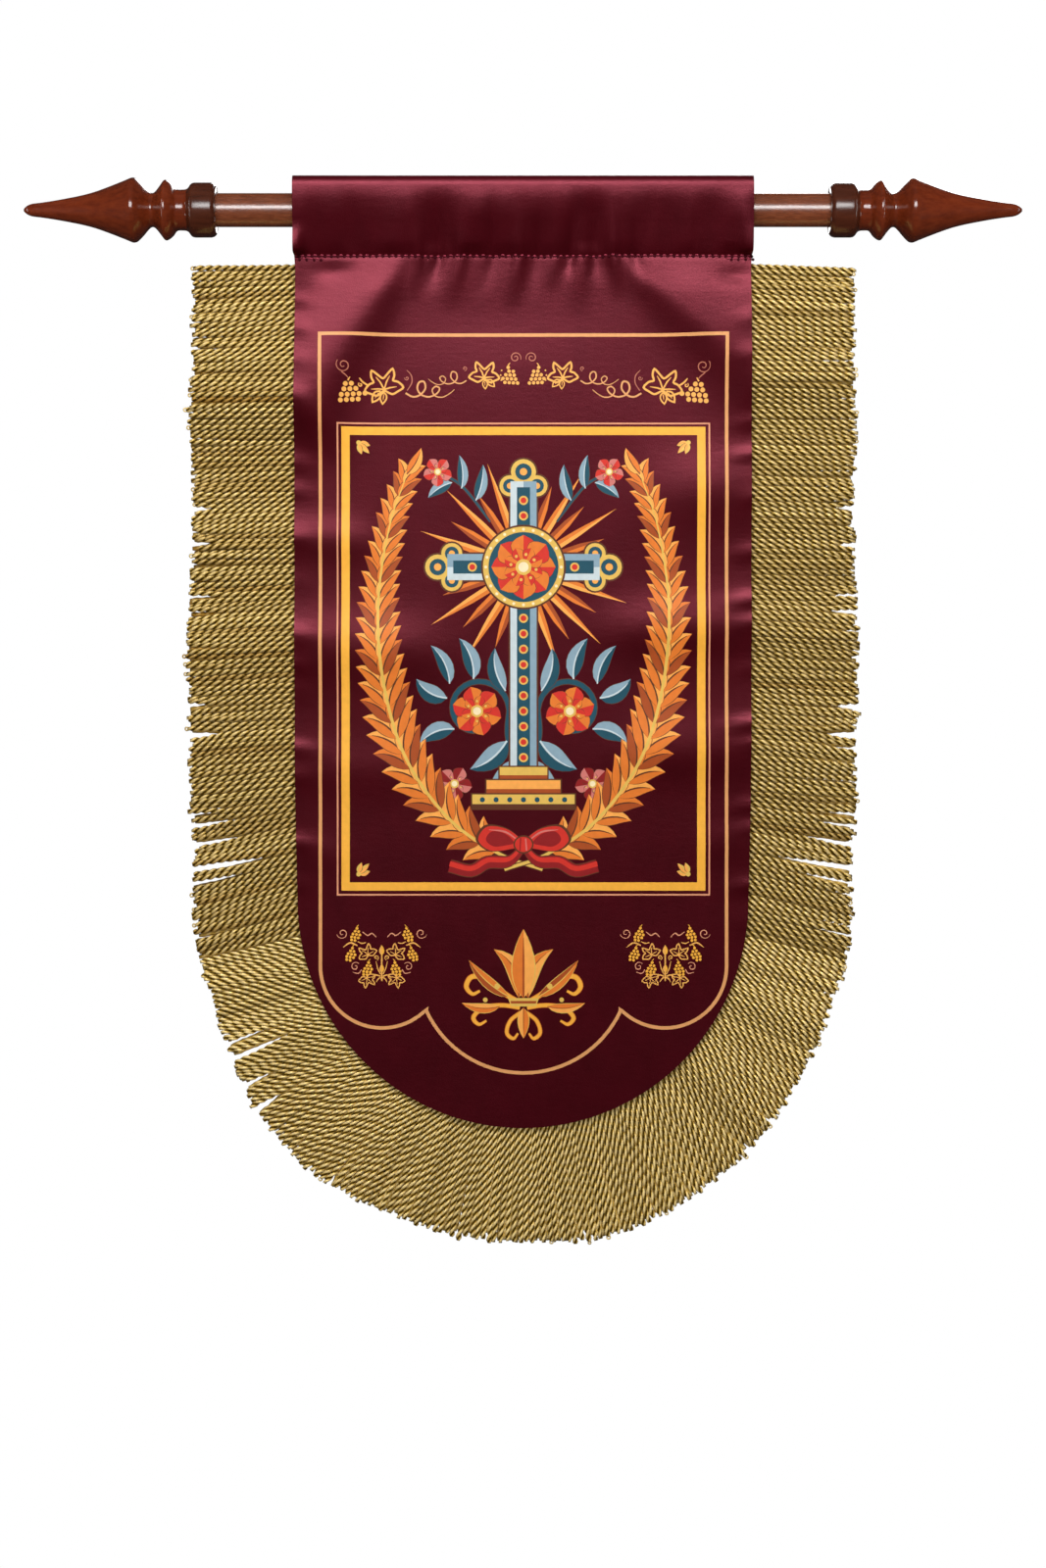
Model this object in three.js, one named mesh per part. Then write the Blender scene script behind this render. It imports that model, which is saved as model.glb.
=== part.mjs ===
// Church banner on its hanging rod: a satin panel with a rod pocket and a round
// foot, a twisted-cord fringe sewn behind its edge in three lengths, and a wooden
// rod with a turned finial at each end. Millimetres, +Z up, the front faces -Y,
// +X is to the viewer's right, and the origin is the middle of the rod's axis.
// "drop" is a distance below the rod's axis, so z = -drop.
import * as THREE from 'three';

// ------------------------------------------------------------------ sizes
const ROD = { radius: 14, halfLength: 282, sides: 32 };
const SOCKET = { mouth: 257.3, depth: 25, radius: 14.4 };
const FINIAL_SIDES = 24;

const CLOTH = {
  thickness: 1.5,
  stitchDrop: 39.2,   // the seam that closes the rod pocket
  hemTail: 5.4,       // the turned-down back layer reaches this far below the seam
  footDrop: 580,      // the straight sides end and the round foot begins
  footDepth: 191.2,   // depth of the round foot
  columns: 24,
  rows: 40,
};
// One side of the pocket's section, from its seam past the rod up to the middle of its
// top: how far each stretch tilts back from upright, in degrees, and its length.
const POCKET = [
  { tilt: -21.8, length: 25.0 },
  { tilt: -21.8, length: 25.5 },
  { tilt: -10.0, length: 2.2 },
  { tilt: 0.0, length: 2.0 },
  { tilt: 7.0, length: 2.5 },
  { tilt: 12.0, length: 8.3 },
  { tilt: 20.0, length: 2.0 },
  { tilt: 43.0, length: 4.2 },
  { tilt: 68.0, length: 2.6 },
  { tilt: 80.0, length: 4.0 },
];

// Half width of the panel down its length.
const WIDTH = [
  { drop: -31, half: 193.9 },
  { drop: 34, half: 193.6 },
  { drop: 39.2, half: 192.3 },
  { drop: 50, half: 191.1 },
  { drop: 190, half: 191.9 },
  { drop: 430, half: 191.7 },
  { drop: 500, half: 191.1 },
  { drop: 580, half: 189.2 },
];

// Main folds, a row each. The crest runs from (x0, drop0) to (x1, drop1) and stands
// "rise" out of the panel; "above" and "below" are its half widths on the two sides,
// and "fade" is how far it dies away past its ends. A fold with a "start" has that share
// of its size at its first end and grows along its crest.
const FOLDS = [
  { x0: -101, drop0: 40, x1: -185, drop1: 160, above: 51, below: 36, rise: 14.0, fade: 24, start: 0.3 },
  { x0: 82, drop0: 40, x1: 201, drop1: 133, above: 94, below: 34, rise: 11.5, fade: 24, start: 0.3 },
  { x0: -60, drop0: 150, x1: 62, drop1: 152, above: 50, below: 60, rise: 0.8, fade: 50 },
  { x0: -192, drop0: 275, x1: -152, drop1: 278, above: 17, below: 17, rise: 3.0, fade: 26 },
  { x0: -192, drop0: 366, x1: -108, drop1: 370, above: 27, below: 27, rise: 5.0, fade: 45 },
  { x0: -192, drop0: 469, x1: -130, drop1: 472, above: 23, below: 21, rise: 2.6, fade: 36 },
  { x0: -192, drop0: 539, x1: -166, drop1: 541, above: 13, below: 15, rise: 1.4, fade: 18 },
  { x0: 192, drop0: 232, x1: 148, drop1: 236, above: 34, below: 30, rise: 4.6, fade: 45 },
  { x0: 192, drop0: 350, x1: 108, drop1: 353, above: 25, below: 21, rise: 4.6, fade: 45 },
  { x0: 192, drop0: 453, x1: 120, drop1: 456, above: 27, below: 22, rise: 3.8, fade: 40 },
  { x0: 192, drop0: 530, x1: 164, drop1: 531, above: 15, below: 15, rise: 1.5, fade: 18 },
];

const FRINGE = {
  heading: 11,        // the woven heading lies this far behind the panel's edge
  clear: 1.3,         // from the panel's back to the heading
  headThick: 2.0,
  cordThick: 4.6,
  topDrop: 46.2,
  seamAngle: 8.9,     // on the round foot, where the side length meets the foot length
  seamGap: 0.35,      // degrees each side of that seam
  sideStep: 14,
  footStep: 2.6,      // degrees
};

// How the cords stand out along a side: their angle below level and their length.
const SIDE_CORDS = [
  { drop: 46, below: 2.0, length: 87.6 },
  { drop: 120, below: 1.0, length: 86.2 },
  { drop: 190, below: 0.5, length: 89.0 },
  { drop: 235, below: 1.0, length: 85.6 },
  { drop: 300, below: 1.5, length: 87.4 },
  { drop: 350, below: 2.0, length: 90.4 },
  { drop: 390, below: 2.5, length: 90.8 },
  { drop: 440, below: 3.0, length: 88.6 },
  { drop: 490, below: 5.0, length: 90.0 },
  { drop: 520, below: 9.0, length: 87.6 },
  { drop: 560, below: 12.0, length: 89.8 },
  { drop: 615, below: 12.6, length: 89.2 },
];

// The same round the foot, by the angle down from the level of its centre.
const FOOT_CORDS = [
  { angle: 9, below: 13.4, left: 88.7, right: 89.5 },
  { angle: 18, below: 16.3, left: 83.6, right: 84.5 },
  { angle: 27, below: 20.5, left: 88.3, right: 86.7 },
  { angle: 36, below: 27.4, left: 94.2, right: 88.4 },
  { angle: 45, below: 37.5, left: 97.7, right: 92.3 },
  { angle: 54, below: 49.2, left: 101.0, right: 95.7 },
  { angle: 63, below: 60.4, left: 97.0, right: 97.6 },
  { angle: 72, below: 70.6, left: 96.7, right: 101.0 },
  { angle: 81, below: 80.4, left: 96.9, right: 99.3 },
  { angle: 90, below: 90.0, left: 97.2, right: 97.2 },
];

// Slits where the cords part: depth from the tips and half width at the tips.
const SIDE_SLITS = [
  { drop: 249, depth: 13, half: 1.6 },
  { drop: 279, depth: 15, half: 1.6 },
  { drop: 322, depth: 26, half: 1.3 },
  { drop: 334, depth: 24, half: 1.3 },
  { drop: 414, depth: 16, half: 1.5 },
  { drop: 437, depth: 27, half: 2.2 },
  { drop: 502, depth: 29, half: 1.8 },
  { drop: 519, depth: 36, half: 2.0 },
  { drop: 538, depth: 68, half: 2.2 },
];
const FOOT_SLITS = [
  { side: 'left', angle: 28.0, depth: 48, half: 0.30 },
  { side: 'left', angle: 30.8, depth: 62, half: 0.50 },
  { side: 'left', angle: 36.2, depth: 29, half: 0.45 },
  { side: 'left', angle: 40.6, depth: 26, half: 0.45 },
  { side: 'left', angle: 57.0, depth: 10, half: 0.40 },
  { side: 'right', angle: 44.0, depth: 8, half: 0.35 },
  { side: 'right', angle: 62.0, depth: 9, half: 0.35 },
];

// Turned profile of a finial: distance out from the collar's mouth, and radius.
const FINIAL = [
  { out: 0.0, radius: 20.4 },
  { out: 0.7, radius: 21.7 },
  { out: 2.2, radius: 22.5 },
  { out: 4.0, radius: 22.7 },
  { out: 19.4, radius: 22.7 },
  { out: 21.2, radius: 22.0 },
  { out: 22.6, radius: 20.2 },
  { out: 23.6, radius: 18.4 },
  { out: 25.6, radius: 17.2 },
  { out: 29.0, radius: 16.9 },
  { out: 32.6, radius: 17.0 },
  { out: 34.6, radius: 18.4 },
  { out: 36.6, radius: 21.2 },
  { out: 39.0, radius: 23.4 },
  { out: 41.4, radius: 24.8 },
  { out: 43.0, radius: 25.0 },
  { out: 44.4, radius: 24.0 },
  { out: 46.6, radius: 21.0 },
  { out: 49.2, radius: 17.6 },
  { out: 51.4, radius: 15.2 },
  { out: 53.4, radius: 14.1 },
  { out: 55.6, radius: 14.6 },
  { out: 58.4, radius: 17.2 },
  { out: 61.4, radius: 20.6 },
  { out: 64.6, radius: 23.8 },
  { out: 67.4, radius: 26.2 },
  { out: 69.4, radius: 27.0 },
  { out: 71.4, radius: 26.7 },
  { out: 76.0, radius: 24.6 },
  { out: 84.0, radius: 21.6 },
  { out: 93.0, radius: 18.2 },
  { out: 102.6, radius: 14.9 },
  { out: 112.6, radius: 12.3 },
  { out: 124.0, radius: 10.0 },
  { out: 137.0, radius: 7.7 },
  { out: 148.0, radius: 6.1 },
  { out: 154.6, radius: 5.3 },
  { out: 158.4, radius: 4.0 },
  { out: 160.8, radius: 2.3 },
  { out: 162.2, radius: 0 },
];

// ------------------------------------------------------------------ helpers
const rad = THREE.MathUtils.degToRad;

// Straight-line reading of a table: the value of "column" where "key" is t.
function read(table, key, t, column) {
  if (t <= table[0][key]) return table[0][column];
  for (let i = 1; i < table.length; i++) {
    const a = table[i - 1], b = table[i];
    if (t <= b[key]) return a[column] + (b[column] - a[column]) * (t - a[key]) / (b[key] - a[key]);
  }
  return table[table.length - 1][column];
}

function smooth(t) {
  const c = Math.min(1, Math.max(0, t));
  return c * c * (3 - 2 * c);
}

// A closed body from points and triangles, turned so that its faces point out.
function body(points, faces) {
  let volume = 0;
  for (const [a, b, c] of faces) {
    volume += points[a].dot(new THREE.Vector3().crossVectors(points[b], points[c]));
  }
  const geometry = new THREE.BufferGeometry();
  geometry.setAttribute('position', new THREE.Float32BufferAttribute(points.flatMap((p) => [p.x, p.y, p.z]), 3));
  geometry.setIndex(faces.flatMap(([a, b, c]) => (volume > 0 ? [a, b, c] : [a, c, b])));
  geometry.computeVertexNormals();
  return geometry;
}

function quad(faces, a, b, c, d) {
  faces.push([a, b, c], [a, c, d]);
}

// ------------------------------------------------------------------ the panel's hang
const half = (drop) => read(WIDTH, 'drop', drop, 'half');

// How far the folds stand out of the panel at a point of it.
function relief(x, drop) {
  let sum = 0;
  for (const f of FOLDS) {
    const ux = f.x1 - f.x0, ud = f.drop1 - f.drop0;
    const length = Math.hypot(ux, ud);
    const along = ((x - f.x0) * ux + (drop - f.drop0) * ud) / length;
    const past = along - Math.min(length, Math.max(0, along));
    const crest = f.drop0 + (ud / ux) * (x - f.x0);
    const across = (drop - crest) * Math.abs(ux) / length;
    const start = f.start ?? 1;
    const size = start + (1 - start) * Math.min(1.15, Math.max(0, along / length));
    const width = (across > 0 ? f.below : f.above) * size;
    sum += f.rise * size * Math.exp(-((across / width) ** 2) - (past / f.fade) ** 2);
  }
  return sum * smooth((drop - CLOTH.stitchDrop) / 34);
}

// Middle of the panel's thickness.
const middle = (x, drop) => -CLOTH.thickness / 2 - relief(x, drop);

// ------------------------------------------------------------------ panel with its rod pocket
function panelGeometry() {
  const t = CLOTH.thickness;
  // The pocket's section from the front end of its seam, up over the rod, to the back
  // end: each entry gives the outer and the inner point as [y, z].
  const way = [];
  let out = t / 2, up = -CLOTH.stitchDrop;
  for (const { tilt, length } of POCKET) {
    const from = [out, up];
    out -= length * Math.sin(rad(tilt));
    up += length * Math.cos(rad(tilt));
    way.push({ from, to: [out, up], tilt: rad(tilt) });
  }
  const front = way.map(({ to, tilt }, i) => {
    const next = i + 1 < way.length ? way[i + 1].tilt : tilt;
    const face = (tilt + next) / 2, grow = t / 2 / Math.cos((next - tilt) / 2);
    const at = (r) => [-(to[0] + r * Math.cos(face)), to[1] + r * Math.sin(face)];
    return { outer: at(grow), inner: at(-grow) };
  });
  const top = { outer: [0, up + t / 2 + 0.3], inner: [0, up - t / 2 + 0.3] };
  const flip = ([y, z]) => [-y, z];
  const backSide = front.map((p) => ({ outer: flip(p.outer), inner: flip(p.inner) })).reverse();
  const pocket = [...front, top, ...backSide];
  const lean = Math.tan(-way[0].tilt);
  const crotch = [0, front[0].inner[1] + front[0].inner[0] / lean];

  const foot = (u) => CLOTH.footDrop + CLOTH.footDepth * Math.sqrt(Math.max(0, 1 - u * u));
  const hem = CLOTH.stitchDrop + CLOTH.hemTail;
  const points = [];
  const outerRings = [], innerRings = [];
  for (let i = 0; i <= CLOTH.columns; i++) {
    const u = Math.sin(rad(-90 + 180 * i / CLOTH.columns));
    const put = (y, z) => points.push(new THREE.Vector3(u * half(-z), y, z)) - 1;
    const drops = [CLOTH.stitchDrop, hem, hem + 0.6];
    for (let r = 1; r <= CLOTH.rows; r++) drops.push(hem + 0.6 + (foot(u) - hem - 0.6) * r / CLOTH.rows);
    const front = drops.map((d) => put(middle(u * half(d), d) - t / 2, -d));
    const over = pocket.map((p) => put(...p.outer));
    const back = drops.map((d, r) => put(middle(u * half(d), d) + t / 2 + (r < 2 ? t : 0), -d));
    outerRings.push({ front, over, back });
    innerRings.push([put(...crotch), ...pocket.map((p) => put(...p.inner))]);
  }

  const faces = [];
  const loop = (ring) => [...ring.front].reverse().concat(ring.over, ring.back);
  for (let i = 0; i < CLOTH.columns; i++) {
    const a = loop(outerRings[i]), b = loop(outerRings[i + 1]);
    for (let k = 0; k < a.length; k++) quad(faces, a[k], a[(k + 1) % a.length], b[(k + 1) % b.length], b[k]);
    const c = innerRings[i], d = innerRings[i + 1];
    for (let k = 0; k < c.length; k++) quad(faces, c[k], d[k], d[(k + 1) % d.length], c[(k + 1) % c.length]);
  }
  for (const [i, flip] of [[0, true], [CLOTH.columns, false]]) {
    const { front, over, back } = outerRings[i];
    const inner = innerRings[i];
    const cap = [];
    for (let r = 0; r + 1 < front.length; r++) quad(cap, front[r], front[r + 1], back[r + 1], back[r]);
    const outer = [front[0], ...over, back[0]];
    const inside = [inner[0], ...inner.slice(1), inner[0]];
    cap.push([front[0], back[0], inner[0]]);
    for (let k = 0; k + 1 < outer.length; k++) {
      if (k === 0) cap.push([outer[0], inside[0], inside[1]], [outer[0], inside[1], outer[1]]);
      else if (k + 2 === outer.length) cap.push([outer[k], inside[k], inside[k + 1]], [outer[k], inside[k + 1], outer[k + 1]]);
      else quad(cap, outer[k], inside[k], inside[k + 1], outer[k + 1]);
    }
    for (const [a, b, c] of cap) faces.push(flip ? [a, b, c] : [a, c, b]);
  }
  return body(points, faces);
}

// ------------------------------------------------------------------ fringe
// A length of fringe from sections along its edge. Each section is the point on the
// panel's edge, the way out of the panel, the cords' own way, and their length there.
function combGeometry(sections) {
  const points = [], front = [], back = [];
  for (const s of sections) {
    const rows = [
      { p: s.edge.clone().addScaledVector(s.normal, -FRINGE.heading), thick: FRINGE.headThick },
      { p: s.edge.clone().addScaledVector(s.way, 2), thick: FRINGE.cordThick },
      { p: s.edge.clone().addScaledVector(s.way, s.length - 3), thick: FRINGE.cordThick },
      { p: s.edge.clone().addScaledVector(s.way, s.length), thick: FRINGE.cordThick * 0.45, set: FRINGE.cordThick * 0.25 },
    ];
    const rooted = middle(s.edge.x, s.edge.y) + CLOTH.thickness / 2 + FRINGE.clear;
    const behind = middle(rows[0].p.x, rows[0].p.y) + CLOTH.thickness / 2 + FRINGE.clear;
    front.push([]);
    back.push([]);
    rows.forEach(({ p, thick, set = 0 }, k) => {
      const y = (k === 0 ? behind : rooted) + set;
      front.at(-1).push(points.push(new THREE.Vector3(p.x, y, -p.y)) - 1);
      back.at(-1).push(points.push(new THREE.Vector3(p.x, y + thick, -p.y)) - 1);
    });
  }
  const faces = [];
  const n = front[0].length;
  for (let i = 0; i + 1 < sections.length; i++) {
    for (let k = 0; k + 1 < n; k++) {
      quad(faces, front[i][k], front[i + 1][k], front[i + 1][k + 1], front[i][k + 1]);
      quad(faces, back[i][k], back[i][k + 1], back[i + 1][k + 1], back[i + 1][k]);
    }
    quad(faces, front[i][0], back[i][0], back[i + 1][0], front[i + 1][0]);
    quad(faces, front[i][n - 1], front[i + 1][n - 1], back[i + 1][n - 1], back[i][n - 1]);
  }
  const last = sections.length - 1;
  for (let k = 0; k + 1 < n; k++) {
    quad(faces, front[0][k], front[0][k + 1], back[0][k + 1], back[0][k]);
    quad(faces, front[last][k], back[last][k], back[last][k + 1], front[last][k + 1]);
  }
  return body(points, faces);
}

// Stations along an edge: even steps, with three more at each slit.
function stations(from, to, step, slits, key) {
  const count = Math.round((to - from) / step);
  const even = Array.from({ length: count + 1 }, (_, i) => from + (to - from) * i / count);
  const list = even.filter((v) => !slits.some((s) => v !== from && v !== to && Math.abs(v - s[key]) < s.half * 1.8))
    .map((at) => ({ at, cut: 0 }));
  for (const s of slits) {
    list.push({ at: s[key] - s.half, cut: 0 }, { at: s[key], cut: s.depth }, { at: s[key] + s.half, cut: 0 });
  }
  return list.sort((a, b) => a.at - b.at);
}

// The tips are a little ragged.
const ragged = (at) => 0.9 * Math.sin(at * 0.71) + 0.7 * Math.sin(at * 0.233 + 1.3);

const edgeAtAngle = (side, angle) => new THREE.Vector2(
  side * half(CLOTH.footDrop) * Math.cos(rad(angle)),
  CLOTH.footDrop + CLOTH.footDepth * Math.sin(rad(angle)),
);

// A side length: side is -1 on the viewer's left and 1 on the right.
function sideFringe(side) {
  const arcPerDegree = CLOTH.footDepth * Math.PI / 180;
  const end = CLOTH.footDrop + (FRINGE.seamAngle - FRINGE.seamGap) * arcPerDegree;
  const sections = stations(FRINGE.topDrop, end, FRINGE.sideStep, SIDE_SLITS, 'drop').map(({ at, cut }) => {
    const angle = Math.max(0, (at - CLOTH.footDrop) / arcPerDegree);
    const below = rad(read(SIDE_CORDS, 'drop', at, 'below'));
    return {
      edge: angle > 0 ? edgeAtAngle(side, angle) : new THREE.Vector2(side * half(at), at),
      normal: new THREE.Vector2(side * Math.cos(rad(angle)), Math.sin(rad(angle))),
      way: new THREE.Vector2(side * Math.cos(below), Math.sin(below)),
      length: read(SIDE_CORDS, 'drop', at, 'length') + ragged(at) - cut,
    };
  });
  return combGeometry(sections);
}

// The length round the foot, from the left seam to the right one. "turn" runs from
// the left, through straight down at 90, to the right.
function footFringe() {
  const first = FRINGE.seamAngle + FRINGE.seamGap;
  const slits = FOOT_SLITS.map((s) => ({ ...s, turn: s.side === 'left' ? s.angle : 180 - s.angle }));
  const sections = stations(first, 180 - first, FRINGE.footStep, slits, 'turn').map(({ at, cut }) => {
    const side = at <= 90 ? -1 : 1;
    const angle = at <= 90 ? at : 180 - at;
    const below = rad(read(FOOT_CORDS, 'angle', angle, 'below'));
    return {
      edge: edgeAtAngle(side, angle),
      normal: new THREE.Vector2(side * Math.cos(rad(angle)), Math.sin(rad(angle))),
      way: new THREE.Vector2(side * Math.cos(below), Math.sin(below)),
      length: read(FOOT_CORDS, 'angle', angle, side < 0 ? 'left' : 'right') + ragged(at * 3.3) - cut,
    };
  });
  return combGeometry(sections);
}

// ------------------------------------------------------------------ rod and finials
function rodGeometry() {
  const geometry = new THREE.CylinderGeometry(ROD.radius, ROD.radius, 2 * ROD.halfLength, ROD.sides, 1);
  geometry.rotateZ(Math.PI / 2);
  return geometry;
}

// Turned about Y with its collar's mouth at y = 0 and a blind socket for the rod's end.
function finialGeometry() {
  const profile = [
    new THREE.Vector2(0, SOCKET.depth),
    new THREE.Vector2(SOCKET.radius, SOCKET.depth),
    new THREE.Vector2(SOCKET.radius, 0),
    ...FINIAL.map((row) => new THREE.Vector2(row.radius, row.out)),
  ];
  return new THREE.LatheGeometry(profile, FINIAL_SIDES);
}

// ------------------------------------------------------------------ assembly
const cloth = () => new THREE.MeshStandardMaterial({ color: 0x5a1526, roughness: 0.42, metalness: 0 });
const gold = () => new THREE.MeshStandardMaterial({ color: 0xb39a48, roughness: 0.4, metalness: 0.25 });
const redwood = () => new THREE.MeshStandardMaterial({ color: 0x6e2f18, roughness: 0.25, metalness: 0 });
const brownwood = () => new THREE.MeshStandardMaterial({ color: 0x7d4226, roughness: 0.35, metalness: 0 });

function part(name, geometry, material) {
  const mesh = new THREE.Mesh(geometry, material);
  mesh.name = name;
  return mesh;
}

const banner = new THREE.Group();
banner.add(part('panel', panelGeometry(), cloth()));
banner.add(part('fringe_left', sideFringe(-1), gold()));
banner.add(part('fringe_right', sideFringe(1), gold()));
banner.add(part('fringe_foot', footFringe(), gold()));
banner.add(part('rod', rodGeometry(), brownwood()));
for (const [name, side] of [['finial_left', -1], ['finial_right', 1]]) {
  const finial = part(name, finialGeometry(), redwood());
  finial.rotation.z = -side * Math.PI / 2;
  finial.position.x = side * SOCKET.mouth;
  banner.add(finial);
}

export default banner;
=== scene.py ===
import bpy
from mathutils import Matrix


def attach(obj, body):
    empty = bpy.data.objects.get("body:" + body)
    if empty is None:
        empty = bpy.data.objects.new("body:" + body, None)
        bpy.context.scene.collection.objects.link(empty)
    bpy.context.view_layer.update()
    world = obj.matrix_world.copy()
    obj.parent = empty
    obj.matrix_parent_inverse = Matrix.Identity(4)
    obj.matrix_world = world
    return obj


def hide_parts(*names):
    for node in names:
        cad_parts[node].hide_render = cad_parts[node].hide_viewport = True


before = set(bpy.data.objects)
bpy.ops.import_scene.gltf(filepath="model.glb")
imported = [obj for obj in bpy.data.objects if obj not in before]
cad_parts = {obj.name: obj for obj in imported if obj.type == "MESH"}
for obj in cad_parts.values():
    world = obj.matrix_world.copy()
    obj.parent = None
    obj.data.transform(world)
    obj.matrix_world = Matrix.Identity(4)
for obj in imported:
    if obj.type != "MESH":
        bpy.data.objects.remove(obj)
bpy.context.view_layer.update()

# A satin church banner on its rod. All sizes below are millimetres in the row frame:
# +Z up, the front faces -Y, the origin is the middle of the rod's axis. "drop" is a
# distance below that axis. Objects are made in metres.
import math

import bmesh
import bpy
import numpy as np
from mathutils import Vector
from mathutils.geometry import delaunay_2d_cdt
from mathutils.kdtree import KDTree

MM = 0.001
rng = np.random.default_rng(20)

# ------------------------------------------------------------------ sizes
ROD_R, ROD_HALF = 14.0, 282.0
MOUTH, SOCKET_DEPTH, SOCKET_R = 257.3, 25.0, 14.4
SOLID = 1.5          # thickness of the solid sheet that the cloth follows
CLOTH = 0.9          # thickness of the cloth shown
SEAM = 39.2          # drop of the seam that closes the rod pocket
TAIL = 5.4           # hem of the pocket's back layer, below the seam
FOOT, FOOT_DEEP = 580.0, 191.2
# One side of the pocket's section, from its seam past the rod up to the middle of its
# top: how far each stretch tilts back from upright, and its length.
POCKET = [(-23.5, 34.0), (-21.5, 5.0), (-19.0, 4.0), (-15.5, 4.0), (-12.0, 3.0), (-8.5, 2.2), (-5.5, 2.0), (-3.0, 1.9), (-1.2, 1.9),
          (0.4, 1.9), (1.8, 2.4), (17.0, 1.5), (30.0, 1.7), (41.0, 1.9), (52.0, 2.0), (67.0, 2.4), (79.0, 2.6), (88.0, 10.2)]

WIDTH = np.array([(-31, 192.6), (34, 192.4), (39.2, 191.8), (50, 191.1), (190, 191.9),
                  (430, 191.7), (500, 191.1), (580, 189.2)], float)

# Main folds: the crest runs from (x0, drop0) to (x1, drop1), stands "rise" out, has the
# half widths "above" and "below", dies away over "fade" past its ends, and starts at the
# share "grow" of its full size.
FOLDS = [
    (-101, 40, -185, 160, 51, 36, 14.0, 24, 0.3), (82, 40, 201, 133, 94, 34, 11.5, 24, 0.3),
    (-60, 150, 62, 152, 50, 60, 0.8, 50, 1), (-192, 275, -152, 278, 17, 17, 3.0, 26, 1),
    (-192, 366, -108, 370, 27, 27, 5.0, 45, 1), (-192, 469, -130, 472, 23, 21, 2.6, 36, 1),
    (-192, 539, -166, 541, 13, 15, 1.4, 18, 1), (192, 232, 148, 236, 34, 30, 4.6, 45, 1),
    (192, 350, 108, 353, 25, 21, 4.6, 45, 1), (192, 453, 120, 456, 27, 22, 3.8, 40, 1),
    (192, 530, 164, 531, 15, 15, 1.5, 18, 1),
]
# Small creases that leave the seam, where they stand out by "rise": x at the seam, x and
# drop where they end, half width, rise.
PUCKERS = [
    (-184, -190, 88, 13, 1.5), (-118, -134, 66, 10, 0.5), (-88, -93, 80, 6, 2.4), (-70, -79, 74, 6, -2.8),
    (-52, -63, 88, 8, 3.0), (-24, -35, 78, 7, -1.8), (-3, -11, 88, 7, 3.4), (12, 7, 82, 7, -1.5),
    (28, 23, 70, 6, 2.0), (40, 37, 62, 5, -2.0), (50, 45, 94, 9, 2.6), (61, 61, 66, 6, -1.6),
    (76, 81, 78, 6, 3.2), (94, 101, 66, 6, -2.0), (112, 124, 66, 12, 0.5), (152, 162, 80, 16, 1.0),
]
# Shallow hollows beside the seam: x, drop, half width, half height, depth.
HOLLOWS = [(-160, 52, 16, 7.0, 1.2), (178, 56, 13, 7.0, 1.5), (-5, 84, 85, 34, 1.2)]
# Short creases along the side hems: side, drop, rise, half height, reach.
HEM_CREASES = [
    (-1, 76, 0.8, 6, 15), (-1, 99, 1.4, 7, 14), (-1, 126, 1.1, 7, 14), (-1, 157, 1.2, 8, 14), (-1, 212, 1.6, 8, 16),
    (-1, 236, 1.3, 7, 14), (-1, 276, 1.4, 7, 16), (-1, 312, 0.6, 8, 13), (-1, 357, 2.0, 8, 17), (-1, 382, 1.2, 6, 14),
    (-1, 404, 0.7, 9, 15), (-1, 452, 1.9, 6, 18), (-1, 476, 1.0, 6, 14), (-1, 531, 1.7, 6, 16), (-1, 566, 0.9, 8, 14),
    (1, 92, 1.0, 8, 15), (1, 122, 1.1, 7, 15), (1, 178, 1.5, 6, 15), (1, 205, 1.9, 5, 16), (1, 242, 1.0, 6, 12),
    (1, 287, 1.7, 7, 16), (1, 327, 2.4, 6, 17), (1, 347, 1.5, 6, 14), (1, 385, 0.9, 7, 16), (1, 431, 2.3, 6, 18),
    (1, 448, 1.0, 6, 14), (1, 500, 1.6, 6, 17), (1, 519, 1.2, 6, 14), (1, 567, 1.8, 6, 16), (1, 596, 0.6, 8, 14),
]
# Upright creases of the pocket: x, half width, rise, lean over its height.
GATHERS = [
    (-189, 6, 1.2, 2), (-163, 11, 0.5, 3), (-143, 8, -0.9, -3), (-110, 13, 1.2, 5), (-94, 4, 0.6, -3), (-77, 9, -1.3, 4),
    (-62, 4, -0.5, -4), (-44, 12, 1.5, 5), (-28, 4, -0.6, 3), (-11, 12, 1.1, -4), (6, 4, 0.5, 4), (22, 8, 0.4, 4),
    (37, 4, 0.7, -3), (55, 12, -1.7, 4), (71, 4, 0.6, 5), (90, 7, 0.3, -4), (103, 4, -0.5, 3), (121, 10, -0.7, -3),
    (138, 5, 0.5, 4), (158, 6, -0.4, -3), (174, 9, 1.4, 3), (187, 7, 1.8, -2),
]

# Cords along a side: drop, angle below level, length. Round the foot: angle down from
# the level of its centre, angle below level, length on the left, length on the right.
SIDE_CORDS = np.array([
    (46, 2.0, 87.6), (120, 1.0, 86.2), (190, 0.5, 89.0), (235, 1.0, 85.6), (300, 1.5, 87.4),
    (350, 2.0, 90.4), (390, 2.5, 90.8), (440, 3.0, 88.6), (490, 5.0, 90.0), (520, 9.0, 87.6),
    (560, 12.0, 89.8), (615, 12.6, 89.2)], float)
FOOT_CORDS = np.array([
    (9, 13.4, 88.7, 89.5), (18, 16.3, 83.6, 84.5), (27, 20.5, 88.3, 86.7), (36, 27.4, 94.2, 88.4),
    (45, 37.5, 97.7, 92.3), (54, 49.2, 101.0, 95.7), (63, 60.4, 97.0, 97.6), (72, 70.6, 96.7, 101.0),
    (81, 80.4, 96.9, 99.3), (90, 90.0, 97.2, 97.2)], float)
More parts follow.
